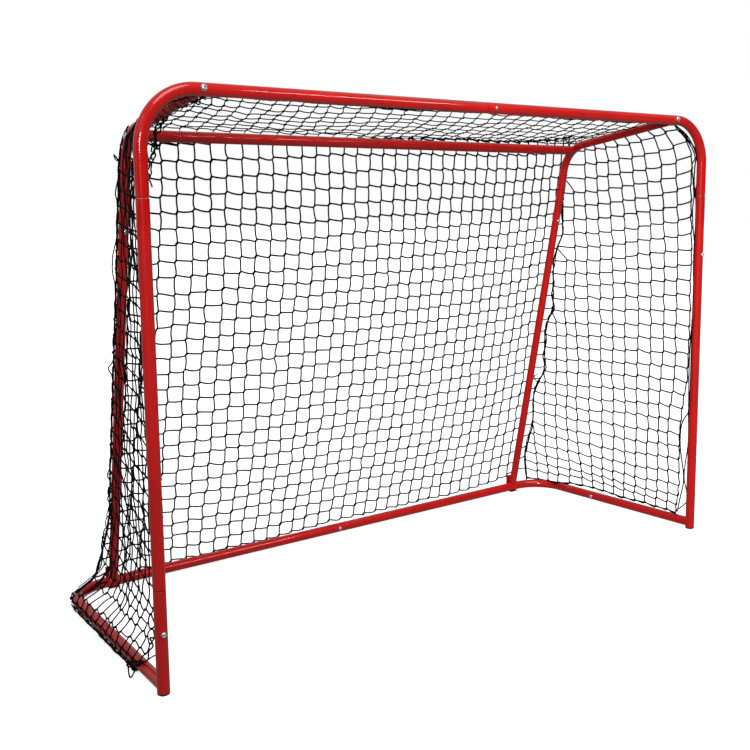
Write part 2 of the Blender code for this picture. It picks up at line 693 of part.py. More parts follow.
def main():
    """Build the goal and centre it on its footprint."""
    clear_scene()
    goal = Goal()
    hoop = front_hoop(goal)
    side_frames(goal, hoop)
    upright_feet(goal, base(goal))
    rear = net(goal) + ROPE_RADIUS
    front = -(FRONT_RADIUS + GAP + CORNER_BOLT[2])
    goal.origin.location = (0.0, -(front + rear) / 2, 0.0)


main()
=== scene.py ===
"""Looks of a knock-down street-hockey goal: powder-coated tube frame, bolts and a knotted net.

Shapes are worked out in the hoop's own frame, with the front hoop in the plane y = 0, the middle of
the mouth at x = 0 and the ground at z = 0. Lengths are in metres.
"""
from __future__ import annotations

import logging
import math
from dataclasses import dataclass
from enum import Enum
from typing import Optional, Sequence, Union

import bpy
import numpy as np
from mathutils import Matrix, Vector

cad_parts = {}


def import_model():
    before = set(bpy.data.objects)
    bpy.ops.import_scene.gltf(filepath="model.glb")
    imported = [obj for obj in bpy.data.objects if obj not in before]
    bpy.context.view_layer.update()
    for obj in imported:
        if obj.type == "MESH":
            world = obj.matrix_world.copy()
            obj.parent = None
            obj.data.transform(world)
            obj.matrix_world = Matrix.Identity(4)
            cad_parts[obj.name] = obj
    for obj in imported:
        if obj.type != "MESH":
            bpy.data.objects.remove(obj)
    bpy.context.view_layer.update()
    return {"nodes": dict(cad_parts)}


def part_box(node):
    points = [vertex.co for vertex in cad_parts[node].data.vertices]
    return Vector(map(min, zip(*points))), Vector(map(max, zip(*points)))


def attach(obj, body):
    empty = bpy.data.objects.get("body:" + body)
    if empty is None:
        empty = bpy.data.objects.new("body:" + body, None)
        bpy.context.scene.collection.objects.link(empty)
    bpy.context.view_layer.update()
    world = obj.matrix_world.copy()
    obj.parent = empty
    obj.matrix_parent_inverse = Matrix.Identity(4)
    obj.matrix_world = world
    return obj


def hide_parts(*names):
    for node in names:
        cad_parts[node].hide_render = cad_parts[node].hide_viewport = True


Array = np.ndarray
Colour = tuple[float, float, float]
Socket = bpy.types.NodeSocket
Inputs = dict[Union[str, int], object]
Meeting = tuple[Array, Array, float]
log = logging.getLogger("hockey_goal")

X, Y, Z = np.eye(3)
SIDES = ((-1, "left"), (1, "right"))
# Edges sharper than this, in degrees, stay sharp.
SMOOTH_METAL, SMOOTH_CORD = 50.0, 180.0


# ------------------------------------------------------------------------------ sizes


@dataclass(frozen=True)
class GoalSizes:
    """The frame's driving sizes, the same as the solids'.

    The last four tell where the roof's straight run ends in y, where the centre of the rear
    bend lies in y and z, and how thick the tubes' wall is.
    """

    post_x: float = 0.800
    crossbar_z: float = 1.1375
    hoop_radius: float = 0.0125
    hoop_bend: float = 0.110
    crossbar_joint_x: float = 0.017
    upper_joint_z: float = 0.940
    lower_joint_z: float = 0.208
    side_radius: float = 0.011
    side_x: float = 0.678
    upright_foot_x: float = 0.662
    roof_depth: float = 0.3757
    roof_fall: float = 0.0602
    side_bend: float = 0.088
    stub_length: float = 0.060
    upright_joint_drop: float = 0.117
    rear_bar_radius: float = 0.0125
    rear_bar_turn: float = 0.38
    base_radius: float = 0.0125
    base_z: float = 0.018
    base_depth: float = 0.594
    base_corner_x: float = 0.775
    base_bend: float = 0.100
    base_side_joint_y: float = 0.435
    base_bar_joint_x: float = 0.014
    bend_start_y: float = 0.3157
    bend_centre_y: float = 0.3018
    bend_centre_z: float = 1.0
    wall: float = 0.0012


SIZES = GoalSizes()


def side_axis(side: int) -> tuple[Array, Array, Array]:
    """Where a side frame's axis starts, bends and ends.

    Args:
        side: -1 for the left frame, 1 for the right.

    Returns:
        The start at the crossbar, the roof's rear corner and the foot on the base bar.
    """
    s = SIZES
    share = s.roof_depth / s.base_depth
    bend_x = s.side_x + (s.upright_foot_x - s.side_x) * share
    return (np.array([side * s.side_x, 0.0, s.crossbar_z]),
            np.array([side * bend_x, s.roof_depth, s.crossbar_z - s.roof_fall]),
            np.array([side * s.upright_foot_x, s.base_depth, s.base_z]))


def side_top(y: Array) -> Array:
    """The height of a side frame's axis: the roof's line, then the rear bend's arc.

    Args:
        y: distances behind the hoop.

    Returns:
        The heights there.
    """
    s = SIZES
    line = s.crossbar_z - s.roof_fall * y / s.roof_depth
    arc = s.bend_centre_z + np.sqrt(np.maximum(s.side_bend**2 - (y - s.bend_centre_y) ** 2, 0.0))
    return np.where(y < s.bend_start_y, line, arc)


def base_side_x(y: Array, reach: Array) -> Array:
    """Where a cord lies that goes along the left base tube and round its corner.

    Args:
        y: distances behind the hoop.
        reach: how far outside the tube's axis the cord keeps.

    Returns:
        The cord's x.
    """
    s = SIZES
    start = s.base_depth - s.base_bend
    slope = (s.post_x - s.base_corner_x) / s.base_depth
    centre = -s.post_x + slope * start + s.base_bend
    arc = np.sqrt(np.maximum((s.base_bend + reach) ** 2 - np.maximum(y - start, 0.0) ** 2, 0.0))
    return np.where(y < start, -s.post_x + slope * y - reach, centre - arc)


# ------------------------------------------------------------------------- small maths


def unit(v: Array) -> Array:
    """Vectors scaled to length one along the last axis."""
    return v / np.maximum(np.linalg.norm(v, axis=-1, keepdims=True), 1e-12)


def smoothstep(x: Array) -> Array:
    """0 below 0, 1 above 1 and 3x^2 - 2x^3 between."""
    x = np.clip(x, 0.0, 1.0)
    return x * x * (3.0 - 2.0 * x)


class BentLine:
    """A line of straight runs with one or more round bends, read by its length.

    Each inner corner becomes an arc of its radius, touching both runs.

    Attributes:
        arc_points: places along an arc.
        nearest: how near to an end's ring another may be.
    """

    arc_points: int = 49
    nearest: float = 1e-4

    def __init__(self, corners: Sequence[Array], radii: Sequence[float]) -> None:
        """Lay out the runs and arcs.

        Args:
            corners: the end points with the sharp corners between them.
            radii: one bend radius for each inner corner.
        """
        points, tangents = [np.array(corners[0], float)], []
        start = np.array(corners[0], float)
        for k, radius in enumerate(radii):
            corner, after = np.array(corners[k + 1]), np.array(corners[k + 2])
            into, out = unit(corner - start), unit(after - corner)
            turn = math.acos(float(np.clip(into @ out, -1.0, 1.0)))
            reach = radius * math.tan(turn / 2)
            inward = unit(out - into * float(into @ out))
            angle = np.linspace(0.0, turn, self.arc_points)[:, None]
            arc = (corner - into * reach + radius * np.sin(angle) * into
                   + radius * (1.0 - np.cos(angle)) * inward)
            if not tangents:
                tangents.append(into)
            points.extend(arc)
            tangents.extend(np.cos(angle) * into + np.sin(angle) * inward)
            start = arc[-1]
        end = np.array(corners[-1], float)
        last = unit(end - start)
        tangents.extend([last] if tangents else [last, last])
        points.append(end)
        self.points = np.array(points)
        self.tangents = np.array(tangents)
        steps = np.linalg.norm(np.diff(self.points, axis=0), axis=1)
        self.at = np.concatenate([[0.0], np.cumsum(steps)])
        self.length = float(self.at[-1])

    def read(self, s: Array) -> tuple[Array, Array]:
        """Points and tangents along the line, which runs on straight past its ends.

        Args:
            s: lengths along it.

        Returns:
            The points and the unit tangents there.
        """
        point = np.stack([np.interp(s, self.at, self.points[:, k]) for k in range(3)], -1)
        tangent = np.stack([np.interp(s, self.at, self.tangents[:, k]) for k in range(3)], -1)
        before = np.minimum(s, 0.0)[:, None] * self.tangents[0]
        after = np.maximum(s - self.length, 0.0)[:, None] * self.tangents[-1]
        return point + before + after, unit(tangent)

    def stations(self, lead: float, tail: float) -> Array:
        """Lengths at which the line needs a ring: its bends, and its ends less lead and tail.

        Args:
            lead: how far from the start the first is.
            tail: how far from the end the last is.

        Returns:
            The lengths, rising.
        """
        low, high = lead + self.nearest, self.length - tail - self.nearest
        inner = self.at[(self.at > low) & (self.at < high)]
        return np.concatenate([[lead], inner, [self.length - tail]])


# ------------------------------------------------------------------------ mesh builders


def add_object(name: str, data: bpy.types.ID) -> bpy.types.Object:
    """Put a new object with some mesh, camera or lamp into the scene.

    Args:
        name: the object's name.
        data: what it is made of.

    Returns:
        The new object, at the origin.
    """
    thing = bpy.data.objects.new(name, data)
    bpy.context.scene.collection.objects.link(thing)
    return thing


class MeshMaker:
    """Collects grids of points and their faces, and turns them into one mesh."""

    def __init__(self) -> None:
        """Start with nothing."""
        self.points: list[Array] = []
        self.faces: list[Array] = []
        self.uvs: list[Array] = []
        self.count = 0

    def add(self, points: Array, faces: Array, uv: Array) -> None:
        """Take in some faces.

        Args:
            points: their points (n, 3).
            faces: quads (m, 4) that index the points.
            uv: a UV for each face corner.
        """
        self.points.append(points.reshape(-1, 3))
        self.faces.append(faces + self.count)
        self.uvs.append(uv.reshape(-1, 2))
        self.count += len(self.points[-1])

    def tubes(self, rings: Array, closed: bool = False, run: Optional[Array] = None) -> None:
        """Skin many tubes at once.

        Args:
            rings: points (tube, station, side, 3), going round anticlockwise about the tangent.
            closed: whether the last ring joins the first; otherwise both ends are capped.
            run: UV distance (tube, station) along each tube.
        """
        tubes, stations, sides, _ = rings.shape
        index = np.arange(tubes * stations * sides).reshape(tubes, stations, sides)
        here = index if closed else index[:, :-1]
        ahead = np.roll(index, -1, axis=1) if closed else index[:, 1:]
        quads = np.stack([here, np.roll(here, -1, axis=2), np.roll(ahead, -1, axis=2), ahead], -1)
        if run is None:
            run = np.tile(np.arange(stations, dtype=float), (tubes, 1))
        along = run if closed else run[:, :-1]
        along_next = np.roll(run, -1, axis=1) if closed else run[:, 1:]
        turn = np.arange(sides) / sides
        shape = quads.shape[:-1]
        u0 = np.broadcast_to(along[:, :, None], shape)
        u1 = np.broadcast_to(along_next[:, :, None], shape)
        v0 = np.broadcast_to(turn, shape)
        v1 = v0 + 1.0 / sides
        uv = np.stack([np.stack([u0, v0], -1), np.stack([u0, v1], -1), np.stack([u1, v1], -1),
                       np.stack([u1, v0], -1)], -2)
        self.add(rings.reshape(-1, 3), quads.reshape(-1, 4), uv)
        if not closed:
            self._caps(index)

    def _caps(self, index: Array) -> None:
        """Close both ends of each tube with a strip of quads across the last ring.

        Args:
            index: each point's number (tube, station, side).
        """
        sides = index.shape[2]
        base = self.count - index.size
        left = np.arange(sides // 2 - 1)
        strip = np.stack([left, left + 1, sides - 2 - left, sides - 1 - left], -1)
        for ring, order in ((index[:, 0], 1), (index[:, -1], -1)):
            quads = ring[:, strip][:, :, ::order].reshape(-1, 4) + base
            self.faces.append(quads)
            self.uvs.append(np.zeros((len(quads) * 4, 2)) + 0.5)

    def build(self, name: str, smooth_angle: float) -> bpy.types.Object:
        """Make the object: one mesh of all the quads, with a UV map named strand.

        Args:
            name: the object's name.
            smooth_angle: edges sharper than this, in degrees, stay sharp.

        Returns:
            The new object, at the origin.
        """
        points = np.concatenate(self.points)
        faces = np.concatenate(self.faces)
        mesh = bpy.data.meshes.new(name)
        mesh.vertices.add(len(points))
        mesh.vertices.foreach_set("co", points.ravel())
        mesh.loops.add(faces.size)
        mesh.loops.foreach_set("vertex_index", faces.ravel().astype(np.int32))
        mesh.polygons.add(len(faces))
        mesh.polygons.foreach_set("loop_start", np.arange(0, faces.size, 4, dtype=np.int32))
        mesh.polygons.foreach_set("loop_total", np.full(len(faces), 4, dtype=np.int32))
        layer = mesh.uv_layers.new(name="strand")
        layer.data.foreach_set("uv", np.concatenate(self.uvs).ravel().astype(np.float32))
        mesh.update(calc_edges=True)
        mesh.validate()
        mesh.shade_smooth()
        if smooth_angle < 180.0:
            mesh.set_sharp_from_angle(angle=math.radians(smooth_angle))
        return add_object(name, mesh)


def rings_about(points: Array, tangents: Array, binormal: Array, radii: Array,
                sides: int) -> Array:
    """Rings of points round a line.

    Each ring is centre + r (cos a n + sin a b), with b square to the tangent and n = b x t.

    Args:
        points: centres (..., 3).
        tangents: unit tangents (..., 3).
        binormal: a direction never parallel to a tangent, broadcast to points.
        radii: a radius for each centre (...).
        sides: points in each ring.

    Returns:
        Points (..., sides, 3).
    """
    binormal = np.broadcast_to(binormal, points.shape)
    b = unit(binormal - tangents * np.sum(binormal * tangents, -1, keepdims=True))
    n = np.cross(b, tangents)
    angle = 2.0 * math.pi * np.arange(sides) / sides
    spoke = (np.cos(angle)[:, None] * n[..., None, :] + np.sin(angle)[:, None] * b[..., None, :])
    return points[..., None, :] + radii[..., None, None] * spoke


# ---------------------------------------------------------------------------- finishes


class Wiring:
    """The shader nodes of one material or world."""

    def __init__(self, tree: bpy.types.NodeTree) -> None:
        """Take the tree that nodes are added to."""
        self.tree = tree

    def feed(self, target: bpy.types.Node, inputs: Inputs) -> None:
        """Set a node's inputs.

        Args:
            target: the node.
            inputs: for an input's name or number, its value or the socket joined to it.
        """
        for key, value in inputs.items():
            if isinstance(value, bpy.types.NodeSocket):
                self.tree.links.new(value, target.inputs[key])
            else:
                target.inputs[key].default_value = value

    def add(self, kind: str, inputs: Inputs, **settings: object) -> bpy.types.Node:
        """Add a shader node.

        Args:
            kind: its type, less the leading ShaderNode.
            inputs: what its inputs are set or joined to.
            settings: its own properties, which are set before its inputs.

        Returns:
            The new node.
        """
        made = self.tree.nodes.new("ShaderNode" + kind)
        for key, value in settings.items():
            setattr(made, key, value)
        self.feed(made, inputs)
        return made

    def noise(self, place: Socket, scale: float, detail: float) -> Socket:
        """Cloudy values at a place, with lumps about 1 / scale across."""
        noise = self.add("TexNoise", {"Vector": place, "Scale": scale, "Detail": detail})
        return noise.outputs["Fac"]

    def math(self, operation: str, first: Socket, second: Union[Socket, float]) -> Socket:
        """The result of an operation on two values."""
        return self.add("Math", {0: first, 1: second}, operation=operation).outputs["Value"]

    def blend(self, low: Colour, high: Colour, factor: Socket) -> Socket:
        """A colour that goes from low to high as the factor goes from 0 to 1."""
        inputs = {"A": (*low, 1.0), "B": (*high, 1.0), "Factor": factor}
        return self.add("Mix", inputs, data_type="RGBA").outputs["Result"]

    def bump(self, height: Socket, strength: float, distance: float) -> Socket:
        """The normal of a surface raised by height times distance."""
        inputs = {"Strength": strength, "Distance": distance, "Height": height}
        return self.add("Bump", inputs).outputs["Normal"]

    def part_rays(self, seen: Socket, given: Socket, output: str) -> None:
        """Show one shader to the eye and give another's light to everything else.

        Args:
            seen: the shader that the camera's own rays meet.
            given: the shader that all other rays meet.
            output: the name of the tree's output node.
        """
        path = self.add("LightPath", {})
        mix = self.add("MixShader", {"Fac": path.outputs["Is Camera Ray"], 1: given, 2: seen})
        self.feed(self.tree.nodes[output], {"Surface": mix.outputs["Shader"]})


class Finish:
    """A material with one Principled shader, fed as its kind of finish says."""

    name: str

    def inputs(self, wiring: Wiring) -> Inputs:
        """What the shader's inputs are set or joined to."""
        raise NotImplementedError

    def make(self) -> bpy.types.Material:
        """Build the material.

        Returns:
            The new material.
        """
        material = bpy.data.materials.new(self.name)
        material.use_nodes = True
        wiring = Wiring(material.node_tree)
        wiring.feed(material.node_tree.nodes["Principled BSDF"], self.inputs(wiring))
        return material


@dataclass(frozen=True)
class PowderCoat(Finish):
    """Glossy red powder coat under a clear film, with faint orange peel and cloudy shade."""

    name: str = "red_powder_coat"
    colour: Colour = (0.64, 0.0045, 0.0030)
    shade: Colour = (0.56, 0.0040, 0.0026)
    cloud_scale: float = 9.0
    cloud_edges: tuple[float, float] = (0.35, 0.55)
    roughness: float = 0.34
    gloss: float = 0.12
    clear: float = 1.0
    clear_roughness: float = 0.06
    peel_size: float = 0.0016
    peel_height: float = 0.00003
    peel_strength: float = 0.25

    def inputs(self, wiring: Wiring) -> Inputs:
        """Wire up the cloudy colour and the peel.

        Args:
            wiring: the material's nodes.

        Returns:
            The shader's inputs.
        """
        place = wiring.add("TexCoord", {}).outputs["Object"]
        cloud = wiring.noise(place, self.cloud_scale, 3.0)
        low, high = self.cloud_edges
        ramp = wiring.add("MapRange", {"From Min": low, "From Max": high, "Value": cloud})
        peel = wiring.noise(place, 1.0 / self.peel_size, 1.0)
        return {"Roughness": self.roughness, "Specular IOR Level": self.gloss,
                "Coat Weight": self.clear, "Coat Roughness": self.clear_roughness,
                "Base Color": wiring.blend(self.shade, self.colour, ramp.outputs["Result"]),
                "Normal": wiring.bump(peel, self.peel_strength, self.peel_height)}


@dataclass(frozen=True)
class ZincPlate(Finish):
    """Bright zinc-plated steel with fine turning marks."""

    name: str = "zinc_steel"
    colour: Colour = (0.80, 0.81, 0.82)
    roughness: float = 0.22
    smoother: float = 0.06
    rougher: float = 0.12
    grain_scale: float = 900.0

    def inputs(self, wiring: Wiring) -> Inputs:
        """Wire up the uneven roughness.

        Args:
            wiring: the material's nodes.

        Returns:
            The shader's inputs.
        """
        grain = wiring.noise(wiring.add("TexCoord", {}).outputs["Object"], self.grain_scale, 2.0)
        rough = wiring.add("MapRange", {"To Min": self.roughness - self.smoother,
                                        "To Max": self.roughness + self.rougher, "Value": grain})
        return {"Metallic": 1.0, "Base Color": (*self.colour, 1.0),
                "Roughness": rough.outputs["Result"]}


@dataclass(frozen=True)
class MouldedPlastic(Finish):
    """Matt black moulded polyethylene."""

    name: str = "black_plastic"
    colour: Colour = (0.020, 0.020, 0.022)
    darker: float = 0.8
    cloud_scale: float = 60.0
    roughness: float = 0.5

    def inputs(self, wiring: Wiring) -> Inputs:
        """Wire up the faintly cloudy colour.

        Args:
            wiring: the material's nodes.

        Returns:
            The shader's inputs.
        """
        cloud = wiring.noise(wiring.add("TexCoord", {}).outputs["Object"], self.cloud_scale, 4.0)
        dark = tuple(self.darker * c for c in self.colour)
        return {"Roughness": self.roughness, "Base Color": wiring.blend(dark, self.colour, cloud)}


@dataclass(frozen=True)
class NetTwine(Finish):
    """Black twisted synthetic twine, with its lay drawn along the strand's own UV map, its grooves
    painted in shade and its ridges in highlight.
    """

    name: str = "black_net_cord"
    # the darker colour is painted shade for the lay's grooves, the lighter one a painted highlight
    # for its ridges
    dark: Colour = (0.0012, 0.0014, 0.0035)
    light: Colour = (0.0075, 0.0085, 0.0150)
    lay: float = 2.0
    turns: float = 3.0
    roughness: float = 0.75
    gloss: float = 0.10
    ridge_height: float = 0.0004
    ridge_strength: float = 0.6

    def inputs(self, wiring: Wiring) -> Inputs:
        """Wire up the strands' ridges: back and forth over lay u + turns v, the same wave painting
        the grooves dark and the ridges lighter.

        Args:
            wiring: the material's nodes.

        Returns:
            The shader's inputs.
        """
        place = wiring.add("UVMap", {}, uv_map="strand").outputs["UV"]
        split = wiring.add("SeparateXYZ", {"Vector": place}).outputs
        along = wiring.math("MULTIPLY", split["X"], self.lay)
        about = wiring.math("MULTIPLY", split["Y"], self.turns)
        wave = wiring.math("PINGPONG", wiring.math("ADD", along, about), 0.5)
        # painted shade and highlight: the colour follows the ridges' height, dark in the grooves
        # and lighter on the ridges
        return {"Roughness": self.roughness, "Specular IOR Level": self.gloss,
                "Base Color": wiring.blend(self.dark, self.light, wave),
                "Normal": wiring.bump(wave, self.ridge_strength, self.ridge_height)}


class Slot(Enum):
    """The record's material slots."""

    RED = "red_powder_coat"
    ZINC = "zinc_steel"
    PLASTIC = "black_plastic"
    CORD = "black_net_cord"


class Dresser:
    """Gives finished pieces their material, slot, place and body."""

    def __init__(self, hoop_y: float) -> None:
        """Make the materials.

        Args:
            hoop_y: where the hoop's plane lies in the solids' frame.
        """
        self.hoop_y = hoop_y
        self.materials = {Slot.RED: PowderCoat().make(), Slot.ZINC: ZincPlate().make(),
                          Slot.PLASTIC: MouldedPlastic().make(), Slot.CORD: NetTwine().make()}

    def shift(self, piece: bpy.types.Object) -> None:
        """Move a piece's mesh from the hoop's frame into the solids' frame.

        Args:
            piece: the piece.
        """
        flat = np.empty(len(piece.data.vertices) * 3)
        piece.data.vertices.foreach_get("co", flat)
        flat[1::3] += self.hoop_y
        piece.data.vertices.foreach_set("co", flat)
        piece.data.update()

    def dress(self, piece: bpy.types.Object, slot: Slot, *nodes: str) -> None:
        """Dress a new piece that is already in the solids' frame.

        Args:
            piece: the piece.
            slot: its material slot.
            nodes: the solids it stands for.
        """
        piece.data.materials.append(self.materials[slot])
        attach(piece, "root")
        if nodes:
            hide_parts(*nodes)
        log.info("%s: %d faces", piece.name, len(piece.data.polygons))

    def finish(self, piece: bpy.types.Object, slot: Slot, *nodes: str) -> None:
        """Bring a new piece into the solids' frame and dress it."""
        self.shift(piece)
        self.dress(piece, slot, *nodes)

    def redress(self, solids: dict[str, bpy.types.Object]) -> None:
        """Give the solids that stay their procedural materials.

        Args:
            solids: the solids by node; each bolt and screw has a piece of its own instead.
        """
        for name, solid in solids.items():
            if name.startswith("net_"):
                slot = Slot.CORD
            elif "cap" in name:
                slot = Slot.PLASTIC
            elif "hook" in name:
                slot = Slot.RED
            elif "bolt" in name or "screw" in name:
                continue
            else:
                slot = Slot.ZINC
            for entry in solid.material_slots:
                entry.material = self.materials[slot]


# ------------------------------------------------------------------------------- tubes


class TubeEnd(Enum):
    """How a tube ends."""

    RIM = "a plain cut with its edge rounded"
    SPIGOT = "narrowed to slide into the next tube"
    COPED = "cut to fit the tube it meets"


@dataclass
class FrameTube:
    """One bent steel tube, closed inside and out.

    Attributes:
        name: the piece's name.
        node: the solid it stands for.
        line: its axis.
        normal: a direction square to the plane of its axis.
        radius: its outer radius.
        start: how its first end is made.
        end: how its last end is made.
        meets_start: the axis (point, direction) and radius of the tube that a coped start meets.
        meets_end: the same for a coped end.
        sides: points round it.
        spigot: how far a spigot goes into the next tube.
        slack: the gap between a spigot and the tube round it.
        uv_scale: UV distance for each metre of its length.
    """

    name: str
    node: str
    line: BentLine
    normal: Array
    radius: float
    start: TubeEnd = TubeEnd.RIM
    end: TubeEnd = TubeEnd.RIM
    meets_start: Optional[Meeting] = None
    meets_end: Optional[Meeting] = None
    sides: int = 48
    spigot: float = 0.022
    slack: float = 0.0004
    uv_scale: float = 20.0

    def _end_profile(self, kind: TubeEnd) -> tuple[list[float], list[float]]:
        """The outline of an end.

        Args:
            kind: how the end is made.

        Returns:
            Distances before the end and radii there, outer wall first, going out to the rim.
        """
        r, wall = self.radius, SIZES.wall
        if kind is TubeEnd.SPIGOT:
            thin = r - wall - self.slack
            return ([0.0034, 0.0026, 0.0012, 0.0004, -self.spigot, -self.spigot],
                    [r, r - 0.0002, thin + 0.0002, thin, thin, thin - wall])
        if kind is TubeEnd.COPED:
            return [0.0], [r]
        return [0.0006, 0.0002, 0.0, 0.0], [r, r - 0.0001, r - 0.0004, r - wall]

    def build(self) -> bpy.types.Object:
        """Carry the ring along the axis, outside from start to end and back inside.

        Returns:
            The new tube, at the origin.
        """
        before, r_before = self._end_profile(self.start)
        after, r_after = self._end_profile(self.end)
        middle = self.line.stations(max(before[0], 0.001), max(after[0], 0.001))
        outer_s = np.concatenate([before[::-1], middle, self.line.length - np.array(after)])
        outer_r = np.concatenate([r_before[::-1], np.full(len(middle), self.radius), r_after])
        count = len(outer_s)
        cut_end, cut_start = (0 if kind is TubeEnd.COPED else 2 for kind in (self.end, self.start))
        back = slice(cut_end, count - cut_start)
        s = np.concatenate([outer_s, outer_s[::-1][back]])
        r = np.concatenate([outer_r, outer_r[::-1][back] - SIZES.wall])
        points, tangents = self.line.read(s)
        rings = rings_about(points, tangents, self.normal, r, self.sides)
        for meets, direction, ends, sign in (
                (self.meets_start, self.line.tangents[0], (0, len(s) - 1), -1.0),
                (self.meets_end, self.line.tangents[-1], (count - 1, count), 1.0)):
            if meets is not None:
                for k in ends:
                    rings[k] = self._cope(rings[k], direction, meets, sign)
        maker = MeshMaker()
        maker.tubes(rings[None], closed=True, run=s[None] * self.uv_scale)
        return maker.build(self.name, SMOOTH_METAL)

    @staticmethod
    def _cope(ring: Array, direction: Array, meets: Meeting, sign: float) -> Array:
        """Slide each point of an end ring along the tube until it touches the tube it meets.

        A point p + t d lies on the other tube where |w + t e|^2 = R^2, with w and e the parts of
        p - c and d that are square to its axis. The nearer root is taken.

        Args:
            ring: the end ring's points.
            direction: the tube's direction there, of length one.
            meets: the other tube's axis and radius.
            sign: -1 at the tube's start, 1 at its end.

        Returns:
            The points on the other tube.
        """
        centre, axis, radius = meets
        w = ring - centre
        w = w - axis * (w @ axis)[:, None]
        e = direction - axis * float(direction @ axis)
        a = float(e @ e)
        b = w @ e
        c = np.sum(w * w, -1) - radius * radius
        root = np.sqrt(np.maximum(b * b - a * c, 0.0))
        t = (-b - sign * root) / a
        return ring + t[:, None] * direction


@dataclass
class TubeFrame:
    """All the red tubes; foot_z is how high above the ground the feet's tubes end."""

    sizes: GoalSizes = SIZES
    foot_z: float = 0.0043

    def hoop(self) -> list[FrameTube]:
        """Crossbar halves, posts and foot sections.

        Returns:
            The tubes.
        """
        s, tubes = self.sizes, []
        middle = np.array([s.crossbar_joint_x, 0.0, s.crossbar_z])
        for side, name in SIDES:
            corner, elbow, lower, foot = (
                np.array([side * s.post_x, 0.0, z])
                for z in (s.crossbar_z, s.upper_joint_z, s.lower_joint_z, self.foot_z))
            start = TubeEnd.SPIGOT if side < 0 else TubeEnd.RIM
            tubes += [
                FrameTube("crossbar_tube_" + name, "crossbar_" + name,
                          BentLine([middle, corner, elbow], [s.hoop_bend]), Y, s.hoop_radius,
                          start, TubeEnd.SPIGOT),
                FrameTube("post_tube_" + name, "post_" + name, BentLine([elbow, lower], []), Y,
                          s.hoop_radius, TubeEnd.RIM, TubeEnd.SPIGOT),
                FrameTube("foot_tube_" + name, "foot_section_" + name,
                          BentLine([lower, foot], []), Y, s.hoop_radius)]
        return tubes

    def _bar_end(self, bend: Array, along: Array, lean: Array) -> tuple[Array, Array]:
        """Where the rear bar meets a side frame, part of the way round its bend.

        Args:
            bend: the sharp corner of the side frame's axis.
            along: the roof run's direction.
            lean: the upright's direction.

        Returns:
            The place on the axis and the axis's direction there.
        """
        s = self.sizes
        turn = math.acos(float(along @ lean))
        reach = s.side_bend * math.tan(turn / 2)
        angle = turn * s.rear_bar_turn
        inward = unit(lean - along * float(along @ lean))
        point = (bend - along * reach + s.side_bend * math.sin(angle) * along
                 + s.side_bend * (1.0 - math.cos(angle)) * inward)
        return point, math.cos(angle) * along + math.sin(angle) * inward

    def sides(self) -> list[FrameTube]:
        """Stubs, side tubes, uprights and the rear bar.

        Returns:
            The tubes.
        """
        s, tubes, ends = self.sizes, [], []
        crossbar = (np.array([0.0, 0.0, s.crossbar_z]), X, s.hoop_radius)
        base_bar = (np.array([0.0, s.base_depth, s.base_z]), X, s.base_radius)
        for side, name in SIDES:
            start, bend, foot = side_axis(side)
            normal = unit(np.cross(bend - start, foot - start))
            along, lean = unit(bend - start), unit(foot - bend)
            stub_end = start + along * s.stub_length
            joint = bend + lean * (s.upright_joint_drop / -lean[2])
            tubes += [
                FrameTube("roof_stub_tube_" + name, "roof_stub_" + name,
                          BentLine([start, stub_end], []), normal, s.side_radius,
                          TubeEnd.COPED, TubeEnd.SPIGOT, meets_start=crossbar),
                FrameTube("side_bent_tube_" + name, "side_tube_" + name,
                          BentLine([stub_end, bend, joint], [s.side_bend]), normal,
                          s.side_radius, TubeEnd.RIM, TubeEnd.SPIGOT),
                FrameTube("upright_tube_" + name, "upright_" + name,
                          BentLine([joint, foot], []), normal, s.side_radius,
                          TubeEnd.RIM, TubeEnd.COPED, meets_end=base_bar)]
            ends.append((*self._bar_end(bend, along, lean), s.side_radius))
        tubes.append(FrameTube("rear_top_tube", "rear_top_bar",
                               BentLine([ends[0][0], ends[1][0]], []), Y, s.rear_bar_radius,
                               TubeEnd.COPED, TubeEnd.COPED, ends[0], ends[1]))
        return tubes

    def base(self) -> list[FrameTube]:
        """Side tubes and the cornered halves of the rear bar.

        Returns:
            The tubes.
        """
        s, tubes = self.sizes, []
        toe = s.post_x - s.base_corner_x
        joint_x = s.post_x - toe * s.base_side_joint_y / s.base_depth
        middle = np.array([s.base_bar_joint_x, s.base_depth, s.base_z])
        for side, name in SIDES:
            front = np.array([side * s.post_x, 0.0, s.base_z])
            joint = np.array([side * joint_x, s.base_side_joint_y, s.base_z])
            corner = np.array([side * s.base_corner_x, s.base_depth, s.base_z])
            start = TubeEnd.SPIGOT if side > 0 else TubeEnd.RIM
            tubes += [
                FrameTube("base_side_tube_" + name, "base_side_" + name,
                          BentLine([front, joint], []), Z, s.base_radius,
                          TubeEnd.COPED, TubeEnd.RIM, meets_start=(front, Z, s.hoop_radius)),
                FrameTube("base_rear_tube_" + name, "base_rear_" + name,
                          BentLine([middle, corner, joint], [s.base_bend]), Z, s.base_radius,
                          start, TubeEnd.SPIGOT)]
        return tubes

    def build(self, dresser: Dresser) -> None:
        """Make every tube."""
        for tube in self.hoop() + self.sides() + self.base():
            dresser.finish(tube.build(), Slot.RED, tube.node)


# --------------------------------------------------------------------------------- net


def cubic(t: Array) -> tuple[Array, Array, Array, Array]:
    """Weights of a cubic's start, start slope, end and end slope at t from 0 to 1."""
    return (2 * t**3 - 3 * t**2 + 1, t**3 - 2 * t**2 + t, 3 * t**2 - 2 * t**3, t**3 - t**2)


